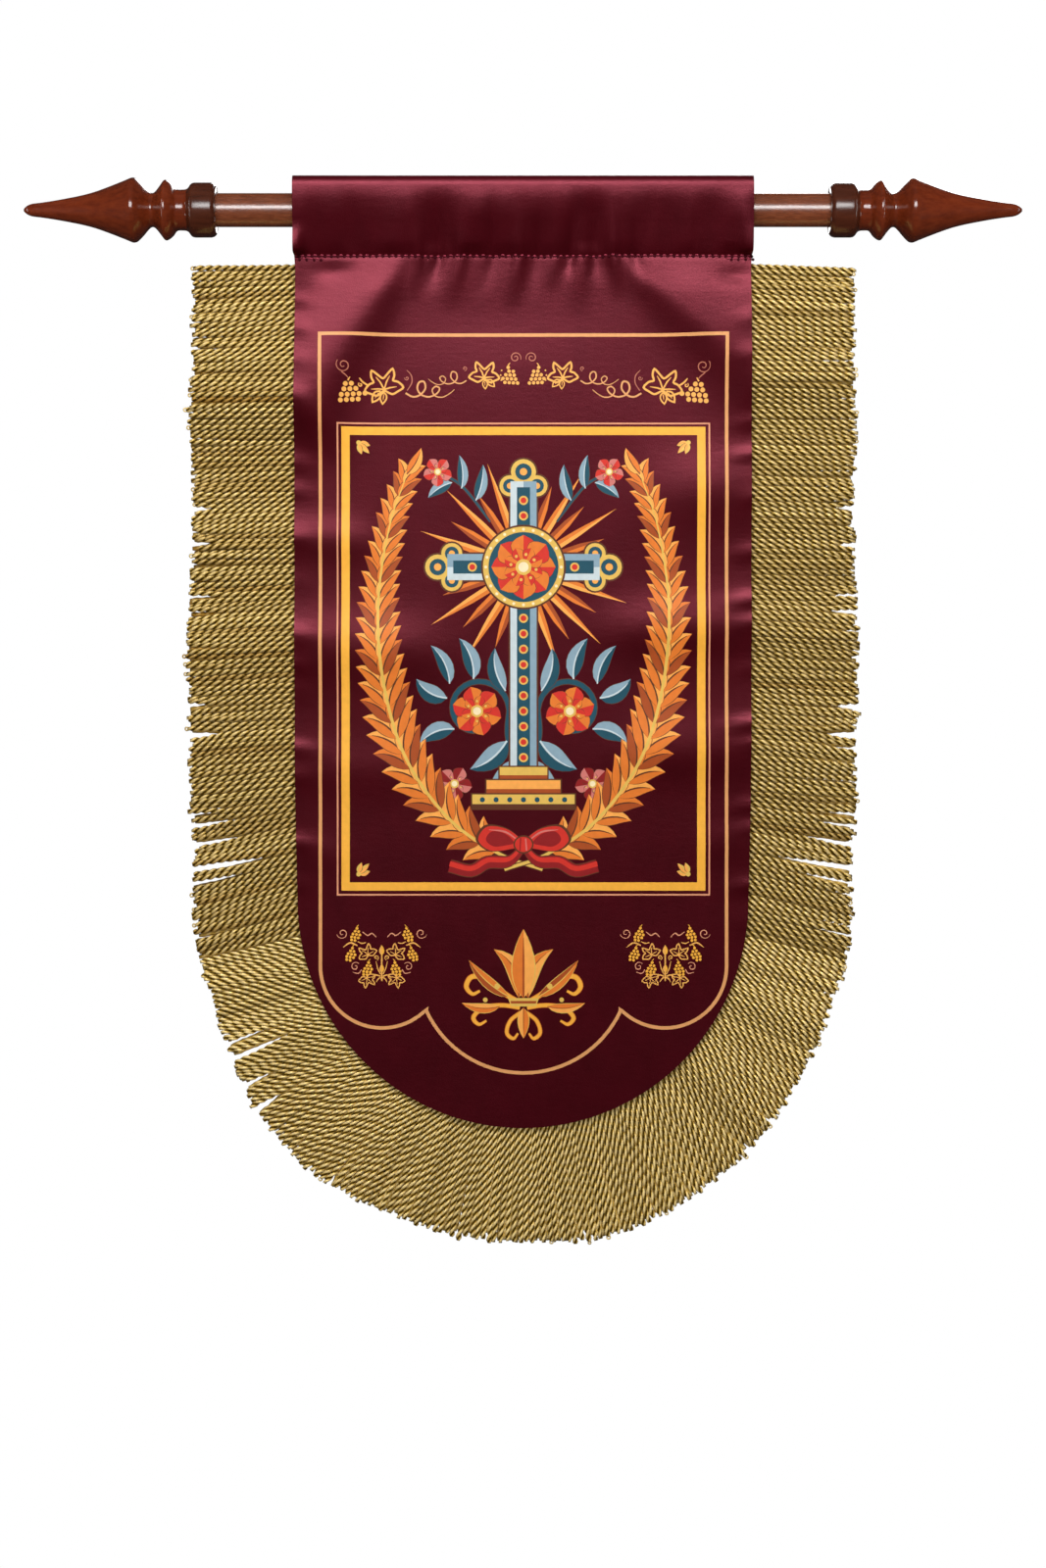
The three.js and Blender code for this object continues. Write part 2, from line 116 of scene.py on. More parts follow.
# Where the cords part: place along the edge, depth from the tips, opening at the tips.
SIDE_SLITS = [(249, 18, 2.6), (279, 20, 2.7), (322, 33, 2.5), (334, 30, 2.4), (414, 21, 2.5),
              (437, 34, 3.7), (500, 33, 2.6), (507, 40, 2.3), (520, 52, 2.5), (540, 84, 3.1), (548, 60, 2.4)]
FOOT_SLITS = [(28.0, 50, 2.2), (30.8, 64, 2.9), (36.2, 33, 2.6), (40.6, 30, 2.7), (57.0, 11, 1.3),
              (136.0, 9, 1.5), (118.0, 9, 1.5)]
CORD_PITCH, FOOT_PITCH, CORD_TURN = 4.3, 3.4, 15.0
HEADING, CLEAR, TOP_DROP, SEAM_ANGLE, SEAM_GAP = 11.0, 1.3, 46.2, 8.9, 0.35

# Turned profile of a finial: out from the collar's mouth, radius.
FINIAL = [
    (0, 19.3), (0.9, 20.9), (2.4, 22.1), (4.6, 22.7), (18.2, 22.7), (20.2, 22.2), (21.8, 20.9),
    (23.4, 18.6), (25.6, 17.2), (29.0, 16.9), (32.6, 17.0), (34.6, 18.4), (36.6, 21.2), (39.0, 23.4),
    (41.4, 24.8), (43.0, 25.0), (44.4, 24.0), (46.6, 21.0), (49.2, 17.6), (51.4, 15.2), (53.4, 14.1),
    (55.6, 14.6), (58.4, 17.2), (61.4, 20.7), (64.6, 24.0), (67.0, 26.1), (68.4, 26.7), (69.8, 26.9), (71.2, 26.7), (72.8, 26.1),
    (76.6, 24.5), (84.0, 21.6), (93.0, 18.2), (102.6, 14.9), (112.6, 12.3), (124.0, 10.0), (137.0, 7.7),
    (148.0, 6.1), (154.6, 5.3), (158.4, 4.0), (160.8, 2.3), (162.2, 0.0),
]


# ------------------------------------------------------------------ small helpers
def smooth(t):
    c = np.clip(t, 0, 1)
    return c * c * (3 - 2 * c)


def srgb(r, g, b):
    """Linear colour of an sRGB one in 0..255."""
    out = []
    for v in (r, g, b):
        v /= 255.0
        out.append(v / 12.92 if v <= 0.04045 else ((v + 0.055) / 1.055) ** 2.4)
    return (*out, 1.0)


def mesh_object(name, verts, faces, materials, face_slots=None, shade=True):
    """An object from points in millimetres and faces, an array with as many corners each or a list."""
    mesh = bpy.data.meshes.new(name)
    verts = np.asarray(verts, float) * MM
    if isinstance(faces, np.ndarray):
        count, corners = faces.shape
        mesh.vertices.add(len(verts))
        mesh.vertices.foreach_set("co", verts.astype(np.float32).ravel())
        mesh.loops.add(count * corners)
        mesh.loops.foreach_set("vertex_index", faces.astype(np.int32).ravel())
        mesh.polygons.add(count)
        mesh.polygons.foreach_set("loop_start", np.arange(0, count * corners, corners, dtype=np.int32))
        mesh.update(calc_edges=True)
    else:
        mesh.from_pydata(verts.tolist(), [], [list(map(int, f)) for f in faces])
    for m in materials:
        mesh.materials.append(m)
    if face_slots is not None:
        mesh.polygons.foreach_set("material_index", np.asarray(face_slots, np.int32))
    mesh.polygons.foreach_set("use_smooth", np.full(len(mesh.polygons), shade))
    mesh.update()
    obj = bpy.data.objects.new(name, mesh)
    bpy.context.scene.collection.objects.link(obj)
    return obj


def sharpen(obj, marked):
    """Sharp edges wherever both ends are among the marked points."""
    ends = np.empty(2 * len(obj.data.edges), np.int32)
    obj.data.edges.foreach_get("vertices", ends)
    ends = ends.reshape(-1, 2)
    layer = obj.data.attributes.new("sharp_edge", "BOOLEAN", "EDGE")
    layer.data.foreach_set("value", marked[ends[:, 0]] & marked[ends[:, 1]])


def point_values(obj, name, values):
    """A float or vector attribute on the points of a mesh."""
    values = np.asarray(values, np.float32)
    kind = "FLOAT" if values.ndim == 1 else "FLOAT_VECTOR"
    layer = obj.data.attributes.new(name, kind, "POINT")
    layer.data.foreach_set("value" if values.ndim == 1 else "vector", values.ravel())


# ------------------------------------------------------------------ the panel's hang
def half_width(q):
    return np.interp(q, WIDTH[:, 0], WIDTH[:, 1])


def main_folds(x, drop):
    """The same folds as the solid sheet's."""
    total = np.zeros(np.broadcast(x, drop).shape)
    for x0, d0, x1, d1, above, below, rise, fade, grow in FOLDS:
        ux, ud = x1 - x0, d1 - d0
        length = math.hypot(ux, ud)
        along = ((x - x0) * ux + (drop - d0) * ud) / length
        past = along - np.clip(along, 0, length)
        across = (drop - (d0 + ud / ux * (x - x0))) * abs(ux) / length
        size = grow + (1 - grow) * np.clip(along / length, 0, 1.15)
        width = np.where(across > 0, below, above) * size
        total = total + rise * size * np.exp(-(across / width) ** 2 - (past / fade) ** 2)
    return total * (0.7 + 0.3 * smooth((drop - SEAM) / 34))


def relief(x, drop):
    """How far the hanging cloth stands out, with the small creases added."""
    total = main_folds(x, drop)
    for x0, x1, end, width, rise in PUCKERS:
        t = (drop - SEAM) / (end - SEAM)
        centre = x0 + (x1 - x0) * np.clip(t, 0, 1.2)
        wide = width * (0.75 + 0.45 * np.clip(t, 0, 1.5))
        body = 1 - smooth(t)
        total = total + rise * np.exp(-((x - centre) / wide) ** 2) * body
    for x0, d0, wide, tall, deep in HOLLOWS:
        total = total - deep * np.exp(-((x - x0) / wide) ** 2 - ((drop - d0) / tall) ** 2) * smooth((drop - SEAM) / 8)
    for side, d0, rise, tall, reach in HEM_CREASES:
        inward = np.clip(half_width(np.minimum(drop, FOOT)) - side * x, 0, None)
        total = total + rise * np.exp(-((drop - d0 - 0.12 * inward) / tall) ** 2 - (inward / reach) ** 2)
    # slow unevenness of the hanging cloth
    away = smooth((drop - SEAM) / 60)
    total = total + away * (
        0.34 * np.sin(0.021 * drop + 0.013 * x + 0.6) * np.sin(0.027 * x - 0.009 * drop + 0.4)
        + 0.16 * np.sin(0.049 * drop - 0.017 * x) * np.sin(0.041 * x + 0.02 * drop + 1.1))
    # it leans back a little under the seam, which draws it in
    total = total + 1.6 * (1 - smooth((drop - SEAM) / 120))
    return total - 0.30 * np.exp(-((drop - SEAM) / 2.6) ** 2)


def pocket_path():
    """The pocket's section from the front of its seam over the rod to the back: way along, y, z."""
    out, up = SOLID / 2, -SEAM
    points = [(-out, up)]
    for tilt, length in POCKET:
        out -= length * math.sin(math.radians(tilt))
        up += length * math.cos(math.radians(tilt))
        points.append((-out, up))
    points += [(0, up + 0.1)] + [(-y, z) for y, z in reversed(points)] + [(SOLID / 2, -SEAM - TAIL)]
    p = np.array(points)
    way = np.concatenate([[0], np.cumsum(np.hypot(*np.diff(p, axis=0).T))])
    fine = np.arange(0, way[-1] + 0.2, 0.4)
    y, z = np.interp(fine, way, p[:, 0]), np.interp(fine, way, p[:, 1])
    kernel = np.hanning(11) / np.hanning(11).sum()     # rounds the corners a little
    for v in (y, z):
        v[5:-5] = np.convolve(v, kernel, "valid")
    return fine, y, z, way[-1]


WAY, WAY_Y, WAY_Z, WAY_LENGTH = pocket_path()
Q_TOP = SEAM - WAY_LENGTH
SEAM_BACK = WAY_LENGTH - TAIL


def panel_half(q):
    """Half width of the flat cut at q: the drop below the seam, and above it the way
    back along the pocket."""
    s = SEAM - q
    z = np.interp(s, WAY, WAY_Z)
    return np.where(s > 0, half_width(-z), half_width(q))


def gathers(x, s):
    """Upright creases of the pocket, by the way along it."""
    total = np.zeros(np.broadcast(x, s).shape)
    u = SEAM_BACK - s
    front = smooth(s / 14) * (1 - smooth((s - 33) / 28))
    back = smooth(u / 14) * (1 - smooth((u - 33) / 28))
    for x0, width, rise, lean in GATHERS:
        t, w = s / 70.0, u / 70.0
        total = total + 1.25 * front * rise * np.exp(-((x - x0 - lean * t) / (width * (0.8 + 0.5 * t))) ** 2)
        total = total + 0.7 * back * rise * np.exp(-((x + 0.93 * x0 - lean * w) / (width * 1.1)) ** 2)
    # slow bellies between the creases
    total = total + 0.35 * (1 + np.sin(0.083 * x + 0.9) * np.sin(0.031 * x)) * (front + back)
    # the pocket's mouths stand off the rod, less so near the seam
    left, right = np.exp(-((x + 193.0) / 8.0) ** 2), np.exp(-((x - 193.0) / 9.0) ** 2)
    for way in (s, u):
        total = total + 10.0 * left * smooth(way / 8) * (1 - smooth((way - 5) / 27))
        total = total + 7.5 * right * smooth(way / 8) * (1 - smooth((way - 4) / 44))
    return total


def cloth_middle(x, q):
    """Middle of the cloth at (x, q) of the flat cut: an array of points."""
    x, q = np.broadcast_arrays(np.asarray(x, float), np.asarray(q, float))
    y = -SOLID / 2 - relief(x, np.maximum(q, SEAM))
    z = -q.copy()
    s = SEAM - q
    over = s > 0
    if over.any():
        so, xo = s[over], x[over]
        py, pz = np.interp(so, WAY, WAY_Y), np.interp(so, WAY, WAY_Z)
        ty = np.interp(so + 0.4, WAY, WAY_Y) - np.interp(so - 0.4, WAY, WAY_Y)
        tz = np.interp(so + 0.4, WAY, WAY_Z) - np.interp(so - 0.4, WAY, WAY_Z)
        long = np.maximum(np.hypot(ty, tz), 1e-9)
        out = gathers(xo, so)
        draw = 0.30 * np.exp(-(so / 2.6) ** 2)
        draw_back = 0.25 * np.exp(-((so - SEAM_BACK) / 2.4) ** 2)
        # the seam is not quite straight: it stands out where the folds below it begin
        wave = relief(xo, np.full(len(xo), SEAM)) + 0.30
        hold = np.maximum(1 - smooth(so / 48), 1 - smooth((SEAM_BACK - so) / 48))
        y[over] = py - out * tz / long + draw - draw_back - wave * hold
        z[over] = pz + out * ty / long
    return np.stack([x, y, z], axis=-1)


def cloth_normal(x, q):
    """Unit normal on the outer face."""
    h = 0.5
    a = cloth_middle(x + h, q) - cloth_middle(x - h, q)
    b = cloth_middle(x, q + h) - cloth_middle(x, q - h)
    n = np.cross(b, a)
    return n / np.maximum(np.linalg.norm(n, axis=-1, keepdims=True), 1e-12)


# ------------------------------------------------------------------ print: drawing helpers
# Shapes are closed rings of (x, drop) points, painted in order.
SHAPES = []


def spline(points, per=8, closed=False):
    """A smooth line through points."""
    p = np.asarray(points, float)
    p = np.vstack([p[-1], p, p[:2]]) if closed else np.vstack([2 * p[0] - p[1], p, 2 * p[-1] - p[-2]])
    out = []
    for a, b, c, d in zip(p[:-3], p[1:-2], p[2:-1], p[3:]):
        for t in np.arange(per) / per:
            out.append(0.5 * ((2 * b) + (c - a) * t + (2 * a - 5 * b + 4 * c - d) * t ** 2 + (3 * b - a - 3 * c + d) * t ** 3))
    if not closed:
        out.append(p[-2])
    return np.array(out)


def arc(cx, cy, r, a0, a1, step=6):
    n = max(2, int(abs(a1 - a0) / step) + 1)
    a = np.radians(np.linspace(a0, a1, n))
    return np.stack([cx + r * np.cos(a), cy + r * np.sin(a)], 1)


def disc(cx, cy, rx, ry=None, turn=0, n=18):
    a = np.arange(n) * 2 * math.pi / n
    ry = rx if ry is None else ry
    c, s = math.cos(math.radians(turn)), math.sin(math.radians(turn))
    u, v = rx * np.cos(a), ry * np.sin(a)
    return np.stack([cx + u * c - v * s, cy + u * s + v * c], 1)


def divide(points, step=4.0, closed=False):
    """The same line with no piece longer than step."""
    p = np.asarray(points, float)
    if closed:
        p = np.vstack([p, p[:1]])
    out = [p[0]]
    for a, b in zip(p[:-1], p[1:]):
        n = max(1, int(math.ceil(np.hypot(*(b - a)) / step)))
        out += [a + (b - a) * k / n for k in range(1, n + 1)]
    return np.array(out[:-1] if closed else out)


def stroke(points, width, closed=False, ends=(1.0, 1.0)):
    """Rings of a drawn line. ends are its width at the two ends, as a share."""
    p = divide(points, 4.0, closed)
    n = len(p)
    before, after = (np.roll(p, 1, 0), np.roll(p, -1, 0)) if closed else (np.vstack([p[:1], p[:-1]]), np.vstack([p[1:], p[-1:]]))
    a = p - before
    b = after - p
    a /= np.maximum(np.linalg.norm(a, axis=1, keepdims=True), 1e-9)
    b /= np.maximum(np.linalg.norm(b, axis=1, keepdims=True), 1e-9)
    t = a + b
    t /= np.maximum(np.linalg.norm(t, axis=1, keepdims=True), 1e-9)
    side = np.stack([-t[:, 1], t[:, 0]], 1)
    along = np.maximum((t * b).sum(1), (t * a).sum(1))
    grow = 1 / np.clip(along, 0.6, 1)                       # mitre at corners
    if closed:
        w = np.full(n, width / 2.0)
        w = (w * grow)[:, None]
        return [p + side * w, (p - side * w)[::-1]]
    u = np.linspace(0, 1, n)
    w = width / 2.0 * np.minimum(1, np.minimum(ends[0] + (1 - ends[0]) * u / 0.35, ends[1] + (1 - ends[1]) * (1 - u) / 0.35))
    w = (w * grow)[:, None]
    return [np.vstack([p + side * w, (p - side * w)[::-1]])]


def leaf_halves(p0, p1, bend, width, n=9, full=0.42):
    """Two halves of a pointed leaf from p0 to p1 and its midrib. bend bows the midrib sideways."""
    p0, p1 = np.asarray(p0, float), np.asarray(p1, float)
    t = np.linspace(0, 1, n)
    d = p1 - p0
    side = np.array([-d[1], d[0]]) / np.hypot(*d)
    rib = p0 + t[:, None] * d + (4 * t * (1 - t) * bend)[:, None] * side
    k = math.log(0.5) / math.log(full)
    w = width / 2 * np.sin(math.pi * t ** k) ** 0.85
    w[0] = w[-1] = 0
    tan = np.gradient(rib, axis=0)
    tan /= np.linalg.norm(tan, axis=1, keepdims=True)
    nor = np.stack([-tan[:, 1], tan[:, 0]], 1)
    one = np.vstack([rib, (rib + nor * w[:, None])[-2:0:-1]])
    two = np.vstack([rib, (rib - nor * w[:, None])[-2:0:-1]])
    whole = np.vstack([rib + nor * w[:, None], (rib - nor * w[:, None])[-2:0:-1]])
    return one, two, rib, whole


class Motif:
    """Shapes in their own small frame, for putting in several places."""

    def __init__(self):
        self.shapes = []

    def fill(self, ink, *rings):
        self.shapes.append((ink, [np.asarray(r, float) for r in rings]))

    def line(self, ink, points, width, closed=False, ends=(1.0, 1.0)):
        self.fill(ink, *stroke(points, width, closed, ends))

    def leaf(self, p0, p1, bend, width, light, dark, rib=None, edge=None, rim=0.5, full=0.42):
        one, two, mid, whole = leaf_halves(p0, p1, bend, width, full=full)
        if edge:
            _, _, _, big = leaf_halves(np.asarray(p0, float), np.asarray(p1, float), bend, width + 2 * rim, full=full)
            self.fill(edge, big)
        self.fill(light, one)
        self.fill(dark, two)
        if rib:
            self.line(rib, mid[:-1], max(0.55, width * 0.09), ends=(1.0, 0.3))

    def put(self, x=0.0, drop=0.0, turn=0.0, size=1.0, mirror=False):
        c, s = math.cos(math.radians(turn)), math.sin(math.radians(turn))
        for ink, rings in self.shapes:
            placed = []
            for r in rings:
                q = r * size
                q = np.stack([x + q[:, 0] * c - q[:, 1] * s, drop + q[:, 0] * s + q[:, 1] * c], 1)
                if mirror:
                    q = q * [-1, 1] + [2 * AXIS, 0]
                placed.append(q)
            SHAPES.append((ink, placed))

    def put_pair(self, x=0.0, drop=0.0, turn=0.0, size=1.0):
        self.put(x, drop, turn, size)
        self.put(x, drop, turn, size, True)


AXIS = 0.4      # the print sits this far right of the panel's middle

# ------------------------------------------------------------------ print: inks
INKS = {
    "peach": (221, 155, 97), "band": (243, 174, 60), "rosegold": (222, 148, 112), "vine": (236, 170, 84),
    "ghost": (184, 108, 84), "orange": (224, 120, 42), "amber": (245, 166, 78), "rust": (166, 74, 28),
    "red": (208, 48, 36), "crimson": (142, 24, 26), "teal": (26, 76, 92), "steel": (136, 162, 176),
    "pale": (198, 210, 212), "gold": (224, 182, 86), "cream": (242, 222, 180), "brown": (94, 50, 28),
    "rose": (204, 116, 108),
}
INK_NAMES = list(INKS)


# ------------------------------------------------------------------ print: borders
def draw_borders():
    m = Motif()
    # outer line: square above, three scallops at the foot
    low = 635.2
    left, right = AXIS - 170.5, AXIS + 170.5
    small, big = 51.9, 89.7
    cusp = math.degrees(math.acos(37.5 / 51.9))
    turn = math.degrees(math.acos(81.6 / 89.7))
    path = np.vstack([
        divide([(left, low), (left, 105.2), (right, 105.2), (right, low)], 4.0),
        arc(right - small, low, small, 0, 180 - cusp, 4)[1:],
        arc(AXIS, low, big, turn, 180 - turn, 4),
        arc(left + small, low, small, cusp, 180, 4)[:-1],
    ])
    m.line("peach", path, 2.9, closed=True)
    # inner frame: a fine line and a broad band
    for ink, half, top, bottom, width in [("rosegold", 156.0, 179.5, 575.2, 1.4), ("band", 149.3, 185.7, 568.3, 7.0)]:
        m.line(ink, [(AXIS - half, top), (AXIS + half, top), (AXIS + half, bottom), (AXIS - half, bottom)], width, closed=True)
    m.put()


def grapes(rows, r, ink="vine"):
    """A bunch of round grapes hanging down; rows are (count, shift)."""
    m = Motif()
    for k, (count, shift) in enumerate(rows):
        for i in range(count):
            m.fill(ink, disc((i - (count - 1) / 2) * 2.36 * r + shift, k * 2.12 * r, r, n=12))
    m.line(ink, [(rows[0][1] - 0.2, -1.2 * r), (rows[0][1] + 0.9 * r, -2.6 * r)], 0.7 * r, ends=(1, 0.5))
    return m


def vine_leaf(ink="vine", width=1.9):
    """A leaf in outline with two lobes above and one each side, 34 wide, its middle at the origin."""
    m = Motif()
    side = [(0, -9.6), (4.4, -13.2), (9.6, -17.4), (10.6, -11.6), (9.0, -6.8), (13.4, -5.0), (17.6, 0.4), (12.2, 3.6), (7.4, 5.6), (3.6, 3.8)]
    ring = side + [(0, 1.8)] + [(-x, y) for x, y in side[:0:-1]]
    m.line(ink, spline(ring, 3, True), width, closed=True)
    for x, y in [(6.4, -11.4), (11.8, -0.8)]:
        for sign in (1, -1):
            m.line(ink, [(0, 0.6), (sign * x * 0.45, y * 0.55), (sign * x, y)], width * 0.75, ends=(1, 0.4))
    return m


def leaflet(ink="vine", width=1.3):
    m = Motif()
    _, _, rib, whole = leaf_halves((0, 0), (0, 9.5), 0, 5.4, n=7)
    m.line(ink, whole, width, closed=True)
    m.line(ink, rib[1:-2], width * 0.6, ends=(1, 0.3))
    return m


def curl(ink, r, turns, width, start=90):
    """A thin spiral tendril that opens out from its middle."""
    a = np.radians(np.linspace(start, start + 360 * turns, int(20 * turns)))
    rr = r * np.linspace(0.16, 1, len(a))
    m = Motif()
    m.line(ink, np.stack([rr * np.cos(a), rr * np.sin(a)], 1), width, ends=(0.6, 0.6))
    return m


def tendril(ink, width, way=1):
    """A running tendril with two open loops, about 42 long, to the right or the left."""
    points = [(0, 0), (6, 3.0), (12, 1.6), (16.6, -3.8), (15.4, -9.6), (11.2, -8.8), (10.0, -3.4), (13.6, 1.6),
              (20.4, 3.0), (26.4, 0.2), (28.6, -3.8), (25.4, -5.6), (22.4, -2.4), (25.0, 2.4), (31.0, 3.4), (37.0, 0.4), (41.0, -3.0)]
    m = Motif()
    m.line(ink, spline([(way * x, y) for x, y in points], 5), width, ends=(1.2, 0.4))
    return m


def strand(ink, points, width, ends=(1.0, 0.5)):
    m = Motif()
    m.line(ink, spline(points, 5), width, ends=ends)
    return m


def draw_vine():
    bunch = grapes([(2, 0), (3, 0.9), (5, 3.2), (4, -0.4)], 2.08)
    small = grapes([(1, 0), (2, 2.6), (3, 1.8), (4, 1.4), (4, 3.2)], 1.5)
    leaf, petal = vine_leaf(), leaflet()
    bunch.put_pair(-146.4, 146.6, -5)
    curl("ghost", 6.2, 1.5, 0.9, 40).put_pair(-150.4, 131.4)
    strand("ghost", [(-152, 137.0), (-148.6, 139.6), (-146.4, 142.0)], 0.9).put_pair()
    strand("vine", [(-137.4, 141.6), (-134.6, 144.8), (-130.8, 147.4)], 1.5, (0.6, 1.0)).put_pair()
    curl("vine", 1.9, 1.1, 1.0, 200).put_pair(-136.4, 147.2)
    leaf.put_pair(-116.6, 150.4, -6, 0.92)
    petal.put_pair(-120.2, 152.4, 34, 1.16)
    petal.put_pair(-116.6, 153.6, 8, 1.0)
    tendril("peach", 1.55).put_pair(-98.6, 154.0)
    strand("ghost", [(-97.6, 134.6), (-93.8, 139.2), (-93.4, 145.4), (-97.2, 151.8)], 0.9, (0.5, 0.8)).put_pair()
    curl("ghost", 1.9, 1.2, 0.7, 120).put_pair(-97.6, 141.4)
    tendril("peach", 1.45, -1).put_pair(-47.4, 143.4, -2, 0.78)
    vine_leaf(width=2.3).put_pair(-32.6, 140.8, 2, 0.72)
    petal.put_pair(-32.0, 143.2, -3, 0.76)
    petal.put_pair(-29.6, 142.8, -44, 0.84)
    curl("ghost", 2.0, 1.2, 0.7, 20).put_pair(-49.0, 133.4)
    for drop, x in [(134.6, -18.0), (138.6, -18.8), (142.8, -18.2)]:
        strand("vine", [(x - 0.5, drop), (x + 0.6, drop + 0.7)], 1.3).put_pair()
    small.put_pair(-12.4, 132.4, 3)
    curl("ghost", 4.8, 1.5, 0.9, 200).put_pair(-6.4, 124.2)


def draw_lower_clusters():
    """A sprig of grapes and leaves in each lower corner, symmetrical about its own stem."""
    bunch = grapes([(1, 0), (2, 0.3), (3, 0.2), (3, -0.6), (2, -1.6)], 1.22, "band")
    leaf = vine_leaf("vine", 2.3)
    m = Motif()

    def both(x, drop, turn, size, part):
        for mirror in (1, -1):
            c, s = math.cos(math.radians(turn)), math.sin(math.radians(turn))
            for ink, rings in part.shapes:
                m.fill(ink, *[np.stack([mirror * (x + size * (r[:, 0] * c - r[:, 1] * s)),
                                        drop + size * (r[:, 0] * s + r[:, 1] * c)], 1) for r in rings])

    both(-20.8, -21.6, 8, 1.0, bunch)
    both(-24.6, -5.0, 10, 1.0, bunch)
    both(-11.0, 7.2, 6, 1.0, bunch)
    both(-11.6, 0.4, -26, 0.46, leaf)
    both(-12.4, 20.2, 160, 0.42, leaf)
    both(-33.0, -17.4, 0, 1.0, curl("rosegold", 4.8, 1.3, 0.8, 60))
    both(-22.2, 10.6, 0, 1.0, curl("rosegold", 4.0, 1.2, 0.8, 250))
    both(-4.6, 3.0, 0, 1.0, curl("vine", 2.2, 1.2, 0.9, 0))
    for ink, points, width, ends in [
            ("vine", [(-32.4, -5.6), (-26.6, -9.4), (-20.4, -7.2)], 1.3, (0.4, 0.8)),
            ("rosegold", [(-16.2, -18.6), (-11.8, -15.6), (-8.2, -17.4), (-4.6, -14.2)], 1.0, (0.6, 0.6)),
            ("vine", [(-20.2, -10.4), (-17.0, -9.0), (-13.4, -9.6)], 1.0, (0.6, 0.8)),
            ("vine", [(-1.0, 17.0), (-3.4, 12.0), (-4.8, 6.0)], 0.9, (1.0, 0.5)),
            ("vine", [(-1.2, 18.6), (-5.0, 17.6), (-8.2, 20.0)], 1.1, (1.0, 0.5)),
            ("vine", [(-0.8, 19.4), (-3.0, 21.0), (-4.6, 23.6)], 1.0, (1.0, 0.5)),
            ("rosegold", [(-17.0, 13.0), (-19.6, 16.2), (-24.4, 15.2)], 0.8, (0.9, 0.5))]:
        for mirror in (1, -1):
            m.line(ink, [(mirror * x, y) for x, y in spline(points, 5)], width, ends=ends)
    m.line("vine", [(0, -7.4), (0, 22.6)], 1.3, ends=(0.6, 1.0))
    for y, w, tall in [(-3.2, 4.4, 4.2), (12.0, 4.0, 3.6)]:
        one, two, _, _ = leaf_halves((0, y + tall), (0, y - tall), 0, w, n=7)
        m.fill("band", one)
        m.fill("vine", two)
    for x in (-118.6, 119.4):
        m.put(x, 625.0, 0, 1.0)


# ------------------------------------------------------------------ print: middle and foot designs
def scroll(turns, r, ink, width, edge=None):
    """A tapering spiral that starts at the origin going up and winds in to the left."""
    a = np.radians(np.linspace(0, -360 * turns, int(26 * turns)))
    rr = r * np.linspace(1, 0.42, len(a))
    p = np.stack([-r + rr * np.cos(a), rr * np.sin(a)], 1)
    m = Motif()
    if edge:
        m.line(edge, p, width + 1.2, ends=(1.0, 0.5))
    m.line(ink, p, width, ends=(1.0, 0.4))
    return m


def flower(petals, r, light, dark, eye, ring):
    m = Motif()
    for layer, (reach, wide, one, two, off) in enumerate([(r, 0.78, light, dark, 0), (0.64 * r, 0.58, dark, light, 0.5)]):
        for k in range(petals):
            a = (k + off) * 2 * math.pi / petals
            tip = np.array([math.cos(a), math.sin(a)])
            m.leaf(tip * 0.1 * r, tip * reach, 0.0, wide * reach, one, two, edge="brown", rim=0.45, full=0.62)
    m.fill(ring, disc(0, 0, 0.25 * r, n=16))
    m.fill(eye, disc(0, 0, 0.16 * r, n=14))
    for k in range(petals):
        a = (k + 0.25) * 2 * math.pi / petals
        m.fill(ring, disc(0.40 * r * math.cos(a), 0.40 * r * math.sin(a), 0.05 * r, n=8))
    return m


def draw_rays(x, drop):
    m = Motif()
    for k in range(28):
        a = math.radians(k * 360 / 28 + 360 / 56)
        out = np.array([math.cos(a), math.sin(a)])
        if abs(out[0]) < 0.18 or abs(out[1]) < 0.18:
            continue
        nor = np.array([-out[1], out[0]])
        r1 = 92 if k % 2 else 72
        one = divide([out * 28, out * 28 + nor * 3.4, out * 52 + nor * 3.0, out * r1], 5, True)
        two = divide([out * 28, out * r1, out * 52 - nor * 3.0, out * 28 - nor * 3.4], 5, True)
        m.fill("amber" if k % 2 else "orange", one)
        m.fill("orange" if k % 2 else "rust", two)
    m.put(x, drop)


